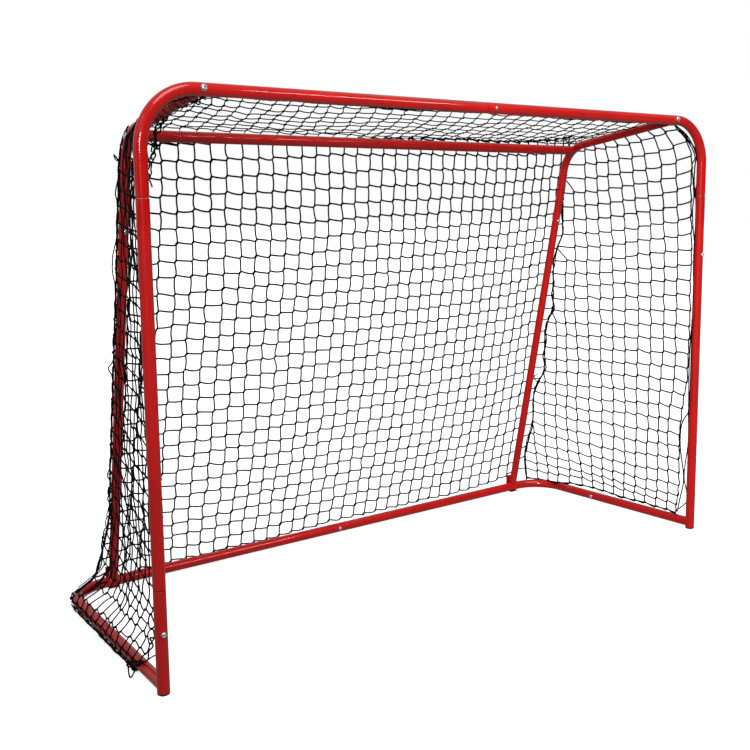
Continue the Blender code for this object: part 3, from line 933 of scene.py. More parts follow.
def pull(stations: Sequence[float], at: Array) -> Array:
    """Weights that read a smooth curve through values given at uneven stations.

    Between two stations the curve is the cubic with their values and their slopes, a slope being
    the difference of the neighbours over their distance. Past the ends it runs on straight.

    Args:
        stations: where the values are given, rising.
        at: where the curve is read, any shape.

    Returns:
        Weights (..., station).
    """
    x = np.asarray(stations, float)
    n = len(x)
    slope = np.zeros((n, n))
    for k in range(n):
        a, b = max(k - 1, 0), min(k + 1, n - 1)
        slope[k, a] -= 1.0 / (x[b] - x[a])
        slope[k, b] += 1.0 / (x[b] - x[a])
    inside = np.clip(at, x[0], x[-1])
    k = np.clip(np.searchsorted(x, inside, side="right") - 1, 0, n - 2)
    h = (x[1:] - x[:-1])[k][..., None]
    start, start_slope, end, end_slope = cubic(((inside - x[k]) / (x[1:] - x[:-1])[k])[..., None])
    eye = np.eye(n)
    weights = (start * eye[k] + start_slope * h * slope[k] + end * eye[k + 1]
               + end_slope * h * slope[k + 1])
    beyond = (at - inside)[..., None]
    return weights + beyond * np.where((at < x[0])[..., None], slope[0], slope[-1])


@dataclass(frozen=True)
class Drape:
    """How one measure of a hanging net varies across and down, by stations in millimetres."""

    across: tuple[float, ...]
    down: tuple[float, ...]
    values: tuple[tuple[float, ...], ...]

    def read(self, a: Array, d: Array) -> Array:
        """The measure, in metres, at places a across and d down."""
        table = np.array(self.values) / 1000.0
        return np.einsum("...j,...i,ji->...", pull(self.down, d), pull(self.across, a), table)


def line_through(stations: Sequence[float], values: Sequence[float], at: Array) -> Array:
    """A smooth curve through values in millimetres at stations, read at places, in metres."""
    return pull(stations, np.asarray(at, float)) @ (np.array(values) / 1000.0)


def curve(stations: Sequence[float], values: Sequence[float], at: Array) -> Array:
    """The same, where the stations are millimetres and the places are in metres."""
    return line_through(stations, values, at * 1000.0)


def metres(*places: tuple[float, float, float]) -> Array:
    """Places (place, 3) given in millimetres."""
    return np.array(places) * 0.001


def wander(rng: np.random.Generator, shape: tuple[int, int], reach: int) -> Array:
    """Smooth random waves of unit size: white noise averaged over reach cells each way.

    Args:
        rng: the generator to draw from.
        shape: rows and columns.
        reach: cells over which neighbours move together.

    Returns:
        Values (rows, columns, 3) of unit spread.
    """
    rows, cols = shape
    raw = rng.standard_normal((rows + 2 * reach, cols + 2 * reach, 3))
    bell = np.exp(-0.5 * (np.arange(-reach, reach + 1) / (0.5 * reach)) ** 2)
    down = sum(w * raw[k:k + rows] for k, w in enumerate(bell))
    both = sum(w * down[:, k:k + cols] for k, w in enumerate(bell))
    return both / both.std()


def cells(first: int, rows: int, columns: int) -> tuple[Array, Array]:
    """Row numbers from first on and column numbers from 0 on, each (row, column)."""
    row, column = np.meshgrid(np.arange(first, rows), np.arange(columns), indexing="ij")
    return row * 1.0, column * 1.0


@dataclass(frozen=True)
class Uneven:
    """How far the knots of a panel stray.

    Attributes:
        seed: the seed of the panel's own generator.
        shake: how far each knot strays by itself.
        wave: how far neighbours stray together.
        reach: cells over which they do.
    """

    seed: int
    shake: float
    wave: float
    reach: int = 3

    def draw(self, shape: tuple[int, int]) -> Array:
        """Each knot's displacement.

        Args:
            shape: rows and columns.

        Returns:
            Displacements (row, column, 3).
        """
        rng = np.random.default_rng(self.seed)
        return (rng.standard_normal((*shape, 3)) * self.shake
                + wander(rng, shape, self.reach) * self.wave)


@dataclass(frozen=True)
class Twine:
    """The netting's twine and knot sizes.

    Attributes:
        radius: the twine's radius.
        knot_long, knot_wide: half a knot's length, and its radius.
        shift, rise: how far across and up or down from a knot's middle its twines leave it.
        bow, sag: how far a bar may bow aside, and how far a level one sags.
        unrest: how far a bar's ends may turn from its run, as a share of it.
        sides: points round a bar or a knot.
        bar_stations: where a bar has rings, as shares of its length.
        uv_scale: the lay's turns along a bar.
    """

    radius: float = 0.00170
    knot_long: float = 0.0043
    knot_wide: float = 0.00215
    shift: float = 0.0014
    rise: float = 0.0031
    bow: float = 0.0012
    sag: float = 0.0008
    unrest: float = 0.10
    sides: int = 6
    bar_stations: tuple[float, ...] = (0.0, 0.14, 0.38, 0.66, 0.88, 1.0)
    uv_scale: float = 12.0


class KnotGrid:
    """A piece of knotted square netting, given by where its knots are.

    Attributes:
        size_spread: how much the knots' sizes differ, as a share.
        tilt: how far a knot's ends stray.
        body_stations: where a knot's body has rings, from -1 to 1 along it.
        body_taper: how much thinner the body is at its ends, as a share.
        hitch_points, hitch_sides: places round its hitch, and points round the hitch's twine.
        hitch_tip: how far the hitch is tipped along the body and across it.
        hitch_out: how far outside the body it lies, as a share of the twine's radius.
        hitch_wide: how much wider than high it is.
        hitch_thin: its twine's radius, as a share of the netting's.
    """

    size_spread: float = 0.12
    tilt: float = 0.0004
    body_stations: tuple[float, ...] = (-1.0, -0.72, -0.2, 0.2, 0.72, 1.0)
    body_taper: float = 0.55
    hitch_points: int = 7
    hitch_sides: int = 4
    hitch_tip: tuple[float, float] = (0.55, 0.84)
    hitch_out: float = 0.25
    hitch_wide: float = 1.15
    hitch_thin: float = 0.55

    def __init__(self, node_name: str, knots: Array, there: Array, twine: Twine, seed: int,
                 turned: float = 1.0) -> None:
        """Take the knots.

        Args:
            node_name: the solid that the netting stands for, after which its pieces are called.
            knots: places (row, column, 3).
            there: whether each knot exists (row, column).
            twine: the twine's sizes.
            seed: for the small unevenness of the bars and knots.
            turned: 1 where knots lean up to the next column, -1 where they lean down to it.
        """
        self.node_name, self.twine, self.turned = node_name, twine, turned
        self.knots, self.there = knots, there
        self.rng = np.random.default_rng(seed)
        right = unit(np.gradient(knots, axis=1))
        up = unit(-np.gradient(knots, axis=0))
        self.out = unit(np.cross(right, up))
        self.lean = right * turned * twine.shift + up * twine.rise

    def _bars(self, a: tuple[Array, Array], start: Array, end: Array, drop: float) -> Array:
        """Rings of the bars from some knots to their neighbours.

        A bar is the cubic from start to end with tangents along it, pushed aside by
        4t(1-t) times its bow.

        Args:
            a: rows and columns of the knots that the bars begin at.
            start: where the bars begin (bar, 3).
            end: where they end (bar, 3).
            drop: how far they sag.

        Returns:
            Points (bar, station, side, 3).
        """
        twine, count = self.twine, len(start)
        run = end - start
        length = np.linalg.norm(run, axis=-1, keepdims=True)
        out = self.out[a]
        side = unit(np.cross(run, out))
        bow = self.rng.standard_normal((count, 2)) * twine.bow
        pushed = side * bow[:, :1] + out * bow[:, 1:] * 0.7 - np.array([0.0, 0.0, drop])
        start_slope = run + self.rng.standard_normal((count, 3)) * twine.unrest * length
        end_slope = run + self.rng.standard_normal((count, 3)) * twine.unrest * length
        t = np.array(twine.bar_stations)[:, None][None]
        weights = (*cubic(t), 4 * t * (1 - t))
        vectors = (start, start_slope, end, end_slope, pushed)
        line = sum(w * v[:, None] for w, v in zip(weights, vectors))
        tangents = unit(np.gradient(line, axis=1))
        radii = np.full(line.shape[:2], twine.radius)
        return rings_about(line, tangents, out[:, None], radii, twine.sides)

    def _run(self, count: int) -> Array:
        """The lay's phase along each bar, in turns, with a start of its own."""
        t = np.array(self.twine.bar_stations) * self.twine.uv_scale
        return t[None] + self.rng.random((count, 1))

    def build_bars(self) -> bpy.types.Object:
        """Make the twine between the knots, first the level bars and then the falling ones.

        Returns:
            The new piece, at the origin.
        """
        lean, maker = self.lean, MeshMaker()
        j, i = np.nonzero(self.there[:, :-1] & self.there[:, 1:])
        start = self.knots[j, i] + lean[j, i] * self.turned
        end = self.knots[j, i + 1] - lean[j, i + 1] * self.turned
        maker.tubes(self._bars((j, i), start, end, self.twine.sag), run=self._run(len(j)))
        j, i = np.nonzero(self.there[:-1] & self.there[1:])
        start = self.knots[j, i] - lean[j, i]
        end = self.knots[j + 1, i] + lean[j + 1, i]
        maker.tubes(self._bars((j, i), start, end, 0.0), run=self._run(len(j)))
        return maker.build(self.node_name + "_twine", SMOOTH_CORD)

    def build_knots(self) -> bpy.types.Object:
        """Make the knots: a fat slanting body and a hitch wound across it.

        The body is a tube whose radius is w (1 - taper q^4) at q from -1 to 1 along it, and the
        hitch a ring round its middle, tipped out of square.

        Returns:
            The new piece, at the origin.
        """
        twine, maker = self.twine, MeshMaker()
        j, i = np.nonzero(self.there)
        count = len(j)
        size = 1.0 + self.size_spread * self.rng.standard_normal((count, 1))
        centre = self.knots[j, i]
        axis = unit(self.lean[j, i] + self.tilt * self.rng.standard_normal((count, 3)))
        out = self.out[j, i]
        q = np.array(self.body_stations)
        line = centre[:, None] + axis[:, None] * (q[None, :, None] * twine.knot_long
                                                  * size[:, None])
        radii = twine.knot_wide * (1.0 - self.body_taper * q**4) * size
        tangents = np.broadcast_to(axis[:, None], line.shape)
        maker.tubes(rings_about(line, tangents, out[:, None], radii, twine.sides),
                    run=np.tile(q * 1.5, (count, 1)))
        tip = unit(axis * self.hitch_tip[0] + unit(np.cross(out, axis)) * self.hitch_tip[1])
        across = unit(np.cross(tip, out))
        points = np.arange(self.hitch_points)
        angle = 2 * math.pi * points / self.hitch_points
        reach = (twine.knot_wide + self.hitch_out * twine.radius) * size[:, None]
        ring = centre[:, None] + reach * (
            np.cos(angle)[None, :, None] * across[:, None] * self.hitch_wide
            + np.sin(angle)[None, :, None] * out[:, None])
        forward = unit(np.roll(ring, -1, 1) - np.roll(ring, 1, 1))
        radii = np.full(ring.shape[:2], twine.radius * self.hitch_thin)
        maker.tubes(rings_about(ring, forward, tip[:, None], radii, self.hitch_sides),
                    closed=True, run=np.tile(points * 0.6, (count, 1)))
        return maker.build(self.node_name + "_knots", SMOOTH_CORD)


@dataclass
class LaidRope:
    """A three-strand rope: its radius swells by 1 + swell cos 3(a - turn s) along its path.

    Attributes:
        path: places it goes through (place, 3).
        radius: its mean radius.
        step: the distance between its rings.
        pitch: the distance in which its strands go once round.
        swell: how far the strands stand out, as a share of the radius.
        sides: points round it.
        uv_scale: UV distance for each pitch.
    """

    path: Array
    radius: float
    step: float = 0.0030
    pitch: float = 0.016
    swell: float = 0.13
    sides: int = 9
    uv_scale: float = 1.5

    def build(self, maker: MeshMaker) -> None:
        """Carry the rope's outline along its path, without twisting it, and round its ends.

        Args:
            maker: what takes in its faces.
        """
        steps = np.linalg.norm(np.diff(self.path, axis=0), axis=1)
        at = np.concatenate([[0.0], np.cumsum(steps)])
        count = max(int(at[-1] / self.step), 3)
        s = np.linspace(0.0, at[-1], count + 1)
        line = pull(at, s) @ self.path
        tangents = unit(np.gradient(line, axis=0))
        normal = np.zeros_like(line)
        normal[0] = unit(np.cross(tangents[0], [0.31, 0.52, 0.79]))
        for k in range(1, len(line)):
            v = normal[k - 1] - tangents[k] * float(normal[k - 1] @ tangents[k])
            normal[k] = v / np.linalg.norm(v)
        other = np.cross(tangents, normal)
        angle = 2.0 * math.pi * np.arange(self.sides) / self.sides
        turn = 2.0 * math.pi * s[:, None] / self.pitch
        radii = self.radius * (1.0 + self.swell * np.cos(3.0 * (angle[None] - turn / 3.0)))
        ends = smoothstep(np.minimum(s, at[-1] - s) / self.radius * 0.8 + 0.35)
        radii = radii * ends[:, None]
        spoke = (np.cos(angle)[None, :, None] * normal[:, None]
                 + np.sin(angle)[None, :, None] * other[:, None])
        rings = line[:, None] + radii[..., None] * spoke
        maker.tubes(rings[None], run=s[None] / self.pitch * self.uv_scale)


@dataclass
class NetBag:
    """The whole net: roof, back, two sides and the ropes that border them.

    Places on the back are given by how far across (columns) and down (rows) a knot is, the
    tables saying where it hangs.

    Attributes:
        wide, stout, fine, thin: the twine of the back, right side, roof and left side.
        columns: the back's and the roof's columns, less one.
        rows: the back's rows, and one more.
        top, foot: y and z at which the back's own plane starts, and to which it falls.
        furthest_back: the furthest y of the right seam.
        back_lowest, left_lowest: how high above the ground those panels' knots lie at least.
        roof_rows: each roof row's y.
        roof_end: the y of the back's row that the roof goes on into.
        roof_rise: how high the roof lies above the roof tubes' axes.
        roof_sag: how far it sags in the middle.
        roof_corner_x: the x of its left rear corner.
        side_columns: the sides' columns at their widest.
        right_rows, left_rows: the sides' rows.
        right_back, right_out: how far the right side's rear edge goes back and out, and in what
            height.
        right_bend, left_bend: the radius in which the sides go round the hoop's bend.
        right_top_x, right_top_drop: the x of the right side's top and its drop below the roof.
        right_columns, right_step: its columns at the top, and the rows for each one more.
        left_columns, left_wide_row, left_step: the left side's width at the top in columns, the
            row down to which it widens, and the rows for each column more.
        left_near_seam: how near the seam a knot may be that isn't on it.
        left_kick: how far the left side's front edge stands off at the foot.
        tube_rise, left_clear: a cord's height above a side tube's axis, and how far below it the
            knots end.
        left_seat, left_top_end: how high above the tube's axis the topmost knots sit, and the
            furthest y at which they do.
        left_top_x, left_top_in: their x in front, and how far in they come towards the rear.
        bend_x, bend_z: the centre of the hoop's bend.
        back_uneven, roof_uneven, right_uneven, left_uneven: how the panels' knots stray.
        back_x, back_s: the back's x, and how far down its plane it hangs, by column and row.
        side_y, side_z: the right side's y and height, by column and row.
    """

    wide: Twine = Twine(radius=0.00210, knot_wide=0.00255)
    stout: Twine = Twine(radius=0.00212, knot_wide=0.00255, bow=0.0006)
    fine: Twine = Twine(radius=0.00130, knot_long=0.0034, knot_wide=0.00165)
    thin: Twine = Twine(radius=0.00152, knot_long=0.0032, knot_wide=0.00180)
    columns: int = 36
    rows: int = 30
    top: tuple[float, float] = (0.390, 1.080)
    foot: tuple[float, float] = (0.6215, 0.020)
    furthest_back: float = 0.6365
    back_lowest: float = 0.006
    roof_rows: tuple[float, ...] = (0.022, 0.058, 0.098, 0.138, 0.178, 0.218, 0.258, 0.298,
                                    0.338, 0.372)
    roof_end: float = 0.392
    roof_rise: float = 0.0145
    roof_sag: float = 0.0075
    roof_corner_x: float = -0.6740
    side_columns: int = 15
    right_rows: int = 30
    left_rows: int = 35
    right_back: tuple[float, float] = (0.2315, 1.06)
    right_out: tuple[float, float] = (0.075, 1.05)
    right_bend: float = 0.1
    left_bend: float = 0.0965
    right_top_x: float = 0.6915
    right_top_drop: float = 0.003
    right_columns: int = 9
    right_step: int = 5
    left_columns: float = 9.3
    left_wide_row: int = 26
    left_step: float = 5.5
    left_near_seam: float = 0.975
    left_kick: float = 0.016
    tube_rise: float = 0.0105
    left_clear: float = 0.012
    left_seat: float = 0.0085
    left_top_x: float = -0.6870
    left_top_in: float = 0.0105
    left_top_end: float = 0.352
    left_lowest: float = 0.0035
    bend_x: float = 0.69
    bend_z: float = 1.0275
    back_uneven: Uneven = Uneven(11, 0.0011, 0.0012, 4)
    roof_uneven: Uneven = Uneven(21, 0.0011, 0.0014)
    right_uneven: Uneven = Uneven(31, 0.0012, 0.0015)
    left_uneven: Uneven = Uneven(41, 0.0014, 0.0028)
    back_x: Drape = Drape(
        (0, 3.6, 9, 14.4, 19.8, 25.2, 30.6, 36), (0.9, 7.35, 14.7, 22.05, 28.5),
        ((-697, -559, -343, -127, 89, 302, 508, 701),
         (-690, -548, -326, -107, 108, 319, 522, 709),
         (-690, -550, -325, -104, 113, 325, 528, 717),
         (-692, -552, -329, -109, 109, 324, 532, 730),
         (-712, -557, -342, -127, 90, 307, 522, 730)))
    back_s: Drape = Drape(
        (0, 3.6, 9, 14.4, 19.8, 25.2, 30.6, 36), (0.9, 7.35, 14.7, 22.05, 28.5),
        ((22, 17, 4, -5, -15, -18, -19, -35),
         (273, 268, 262, 253, 242, 235, 226, 200),
         (562, 557, 547, 539, 528, 519, 507, 476),
         (836, 833, 830, 824, 814, 807, 797, 768),
         (1062, 1062, 1065, 1060, 1053, 1051, 1048, 1026)))
    side_y: Drape = Drape(
        (0, 1, 3, 5, 7, 9, 11, 13, 14), (2, 8, 13, 18, 23, 28),
        ((30, 73, 156, 232, 303, 372, 440, 505, 540),
         (17, 59, 143, 224, 303, 387, 440, 505, 545),
         (13, 56, 139, 224, 309, 398, 468, 530, 570),
         (13, 57, 142, 226, 310, 397, 480, 560, 600),
         (36, 78, 147, 230, 317, 409, 492, 586, 630),
         (38, 75, 151, 231, 312, 399, 495, 586, 636)))
    side_z: Drape = Drape(
        (0, 1, 3, 7, 9, 14), (2, 7, 12, 17, 22, 27, 30),
        ((1120, 1113, 1095, 1075, 1067, 1045),
         (918, 913, 899, 875, 870, 850),
         (711, 708, 698, 679, 673, 655),
         (504, 502, 498, 486, 480, 465),
         (308, 308, 305, 295, 290, 285),
         (122, 121, 117, 115, 115, 112),
         (38, 38, 40, 42, 44, 20)))

    def __post_init__(self) -> None:
        """Work out the way the back falls, and start with no panels."""
        self.fall = unit(np.array([0.0, self.foot[0] - self.top[0], self.foot[1] - self.top[1]]))
        self.grids: dict[str, KnotGrid] = {}

    def _hang(self, node_name: str, knots: Array, there: Array, twine: Twine, uneven: Uneven,
              turned: float = 1.0) -> None:
        """Keep a panel's knots, to be made into netting with the seed after the knots' own."""
        self.grids[node_name] = KnotGrid(node_name, knots, there, twine, uneven.seed + 1, turned)

    def back_point(self, i: Array, j: Array) -> Array:
        """Where the back hangs.

        Args:
            i: how far across, in columns.
            j: how far down, in rows.

        Returns:
            Points (..., 3).
        """
        x, s = self.back_x.read(i, j), self.back_s.read(i, j)
        return np.array([0.0, *self.top]) + x[..., None] * X + s[..., None] * self.fall

    def back(self) -> None:
        """The back, from just above the rear bar to the ground, drawn to the sides' seams."""
        j, i = cells(1, self.rows, self.columns + 1)
        knots = self.back_point(i, j)
        shake = self.back_uneven.draw(i.shape)
        shake[..., 1] = shake[..., 1] * 0.6 + np.abs(shake[..., 1]) * 0.4
        knots += shake
        left = self.left_seam(knots[:, 0, 2]) - knots[:, 0]
        right = self.right_seam(knots[:, -1, 2]) - knots[:, -1]
        for column, away, hold in ((0, left, 1.0), (1, left, 0.55), (2, left, 0.2),
                                   (-1, right, 1.0), (-2, right, 0.4), (-3, right, 0.1)):
            knots[:, column] += away * hold
        knots[..., 2] = np.maximum(knots[..., 2], self.back_lowest)
        self._hang("net_back", knots, np.ones(i.shape, bool), self.wide, self.back_uneven)

    def roof(self) -> None:
        """The roof, from the crossbar over the rear bar, its columns going on into the back's.

        Its columns slant in towards the front, its rows bow back in the middle of its depth, and
        its left edge is gathered. The last row is the back's own top.
        """
        last_y = self.roof_rows[-1]
        rows = len(self.roof_rows) + 1
        _, i = cells(0, rows, self.columns + 1)
        y = np.broadcast_to(np.append(self.roof_rows, self.roof_end)[:, None], i.shape).copy()
        slant = line_through((0, 3, 9, 14, 20, 26, 32, 36), (0, 55, 90, 115, 105, 80, 45, 0), i)
        slant_depth, bow_middle, bow_reach, bow_least = 0.28, 0.20, 0.18, 0.02
        share = np.clip((last_y - y) / slant_depth, 0.0, 1.3)
        x = self.back_x.read(i, np.full(i.shape, 1.0)) - slant * share * (0.75 + 0.25 * share)
        wave = line_through((0, 3, 6, 9, 12, 15, 18, 24, 36),
                            (-60, -40, -15, 0, -4, -28, -32, -38, -45), i)
        bow = np.clip(1.0 - np.abs(y - bow_middle) / bow_reach, 0.0, 1.0) ** 0.6
        y += (wave + bow_least) * bow
        z = self.roof_z(y) - self.roof_sag * np.sin(np.pi * np.clip(y / last_y, 0, 1))
        gather = curve((20, 110, 200, 260, 330, 395), (-668, -664, -660, -657, -652, -655), y)
        close, open_up, gathered = 0.0035, 0.010, 4
        edge = gather + close * i + open_up * np.clip(i - 2, 0, 2)
        knots = np.stack([np.where(i < gathered, np.maximum(x, edge), x), y, z], -1)
        knots[:-1] += self.roof_uneven.draw((rows - 1, i.shape[1]))
        knots[-1] = self.back_point(i[-1], np.full(i.shape[1], 1.0))
        knots[-1, 0, 0] = self.roof_corner_x
        self._hang("net_roof", knots, np.ones(i.shape, bool), self.fine, self.roof_uneven)

    def roof_z(self, y: Array) -> Array:
        """The height of the net just above the roof tubes' line."""
        s = SIZES
        return s.crossbar_z - s.roof_fall * y / s.roof_depth + self.roof_rise

    def hoop_x(self, z: Array, radius: float) -> Array:
        """How far out of the hoop's bend's centre a circle about it reaches at each height."""
        rise = np.maximum(z - self.bend_z, 0.0)
        return np.sqrt(np.maximum(radius**2 - rise**2, 0.0))

    def right_x(self, y: Array, z: Array) -> Array:
        """How far out the right side hangs, from the hoop's inside to the seam.

        Args:
            y: distances behind the hoop.
            z: heights.

        Returns:
            The side's x there.
        """
        fall = self.top[1] - z
        rear_y = self.top[0] + self.right_back[0] * fall / self.right_back[1]
        rear_x = self.bend_x + self.right_out[0] * fall / self.right_out[1]
        front_x = self.bend_x + self.hoop_x(z, self.right_bend)
        return front_x + (rear_x - front_x) * np.clip(y / rear_y, 0.0, 1.2)

    def right_seam(self, z: Array) -> Array:
        """The rear seam of the right side, which steps out every few rows.

        Args:
            z: heights.

        Returns:
            The seam's points there.
        """
        y = curve((4, 63, 98, 192, 225, 310, 346, 393, 434, 511, 552, 591, 688, 747, 782, 830,
                   906, 1010, 1085),
                  (645, 651, 639, 603, 592, 583, 569, 533, 529, 521, 512, 487, 477, 471, 456,
                   432, 428, 405, 390), z)
        y = np.minimum(y, self.furthest_back)
        return np.stack([self.right_x(y, z), y, z], -1)

    def right(self) -> None:
        """The right side, which widens by a column every five rows, out to its stepped seam."""
        k, c = cells(1, self.right_rows + 1, self.side_columns)
        y, z = self.side_y.read(c, k), self.side_z.read(c, k)
        z[:, 0] += line_through((1, 2, 3, 4, 8, 9, 10, 12, 30), (0, 0, 8, 12, 11, 7, 3, 0, 0),
                                k[:, 0])
        y[0] = self.side_y.read(c[0], np.full(self.side_columns, 2.0))
        z[0] = self.roof_z(y[0])
        x = self.right_x(y, z)
        x[0] = self.right_top_x
        z[0] -= self.right_top_drop
        shake = self.right_uneven.draw(k.shape)
        shake[0] = 0.0
        knots = np.stack([x, y, z], -1) + shake
        most = self.side_columns - 1 - self.right_columns
        last = self.right_columns + np.clip(k // self.right_step, 0, most)
        knots = np.where((c == last)[..., None], self.right_seam(knots[..., 2]), knots)
        self._hang("net_side_right", knots, c <= last, self.stout, self.right_uneven, -1.0)

    @property
    def right_hem(self) -> Array:
        """The right side's lowest knots."""
        return self.grids["net_side_right"].knots[-1]

    @staticmethod
    def left_seam(z: Array) -> Array:
        """The rear seam of the left side: down the upright, then out round the base's corner.

        Args:
            z: heights.

        Returns:
            The seam's points there.
        """
        stations = (5, 12, 22, 32, 38, 46, 58, 88, 115, 147, 175, 300, 1018, 1050, 1070, 1085,
                    1093)
        x = curve(stations, (-777, -783, -784, -781, -762, -741, -727, -709, -698, -691, -682,
                             -675, -678, -678, -678, -678, -678), z)
        y = curve(stations, (535, 538, 538, 538, 540, 541, 544, 549, 556, 556, 553, 545, 396,
                             384, 368, 348, 332), z)
        return np.stack([x, y, z], -1)

    def left_front(self, z: Array) -> Array:
        """The left side's front edge: round the hoop's bend, down the post and off at its foot.

        Args:
            z: heights.

        Returns:
            The edge's points there.
        """
        kick = self.left_kick * smoothstep((0.15 - z) / 0.08)
        x = -self.bend_x - self.hoop_x(z, self.left_bend) - kick
        y = curve((5, 24, 43, 66, 93, 106, 130, 200, 1000, 1130),
                  (122, 100, 76, 58, 46, 30, 22, 16, 18, 28), z)
        return np.stack([x, y, z], -1)

    def _left_places(self, f: Array, z: Array) -> tuple[Array, Array]:
        """Where the left side's knots stand.

        A knot stands at f from the side's front edge to its seam and at g from its top to its
        hem, and its place is the Coons patch of those four edges. Low down it is drawn to the
        outside of the base tube.

        Args:
            f: how far each knot is from the front edge, 0 to 1.
            z: the knots' heights.

        Returns:
            Their x and y.
        """
        g = np.clip((1.115 - z) / 1.11, 0.0, 1.0)
        top_start, top_run, top_end = np.array([[-0.6935, 0.028], [0.008, 0.357],
                                                [-0.6855, 0.385]])
        hem_start, hem_run, hem_end = np.array([[-0.806, 0.105], [0.019, 0.423],
                                                [-0.787, 0.528]])
        front, seam = self.left_front(z)[..., :2], self.left_seam(z)[..., :2]
        f2, g2 = f[..., None], g[..., None]
        top, hem = top_start + top_run * f2, hem_start + hem_run * f2
        corners = ((1 - f2) * ((1 - g2) * top_start + g2 * hem_start)
                   + f2 * ((1 - g2) * top_end + g2 * hem_end))
        flat = (1 - f2) * front + f2 * seam + (1 - g2) * top + g2 * hem - corners
        x, y = flat[..., 0], flat[..., 1]
        low = smoothstep((0.088 - z) / 0.055) * smoothstep((1.0 - f) / 0.08)
        under = smoothstep((0.022 - z) / 0.017)
        return x + (base_side_x(y, 0.0152 - 0.0080 * under) - x) * low, y

    def left(self) -> None:
        """The left side, drawn in to the upright and spread over the base tube at the foot.

        Its height falls row by row from the front edge's and rises to the seam. The topmost knot
        of each column sits on the side tube.
        """
        k, c = cells(1, self.left_rows + 1, self.side_columns)
        widths = self.left_columns + np.clip(k, 0, self.left_wide_row) / self.left_step
        last = np.round(widths)
        f = np.where(c >= last, 1.0, np.minimum(c / widths, self.left_near_seam))
        front_z = line_through((1, 5, 29, 30, 31, 32, 33, 34, 35),
                               (1151, 1005, 129, 115, 101, 84, 60, 30, 4.5), k)
        seam_z = line_through((1, 5, 24, 27, 28, 29, 30, 31, 32, 33, 34, 35),
                              (1179, 1033, 338, 224, 190, 158, 128, 98, 70, 48, 32, 12), k)
        z = front_z * (1.0 - f) + seam_z * f
        x, y = self._left_places(f, z)
        shake = self.left_uneven.draw(k.shape)
        upright, lowest, foremost = 0.7, 0.2, 0.5
        shake[..., 2] *= upright
        shake[-2:] *= lowest
        shake[:, 0] *= foremost
        knots = np.stack([x, y, z], -1) + shake * (f < 1.0)[..., None]
        there = (z < side_top(y) + self.tube_rise - self.left_clear) & (c <= last)
        for column, top in enumerate(np.argmax(there, axis=0) - 1):
            if top >= 0 and column <= last[top, column]:
                here = knots[top, column]
                here[1] = min(here[1], self.left_top_end)
                here[2] = side_top(here[1]) + self.left_seat
                here[0] = self.left_top_x + self.left_top_in * here[1] / self.left_top_end
                there[top, column] = True
        knots[..., 2] = np.maximum(knots[..., 2], self.left_lowest)
        self._hang("net_side_left", knots, there, self.thin, self.left_uneven, -1.0)

    def build(self, dresser: Dresser) -> None:
        """Make the panels and the ropes that border them.

        Args:
            dresser: gives the pieces their finish.
        """
        self.back()
        self.roof()
        self.right()
        self.left()
        for grid in self.grids.values():
            dresser.finish(grid.build_bars(), Slot.CORD, grid.node_name)
            dresser.finish(grid.build_knots(), Slot.CORD, grid.node_name)
        NetRopes(self, dresser).build()


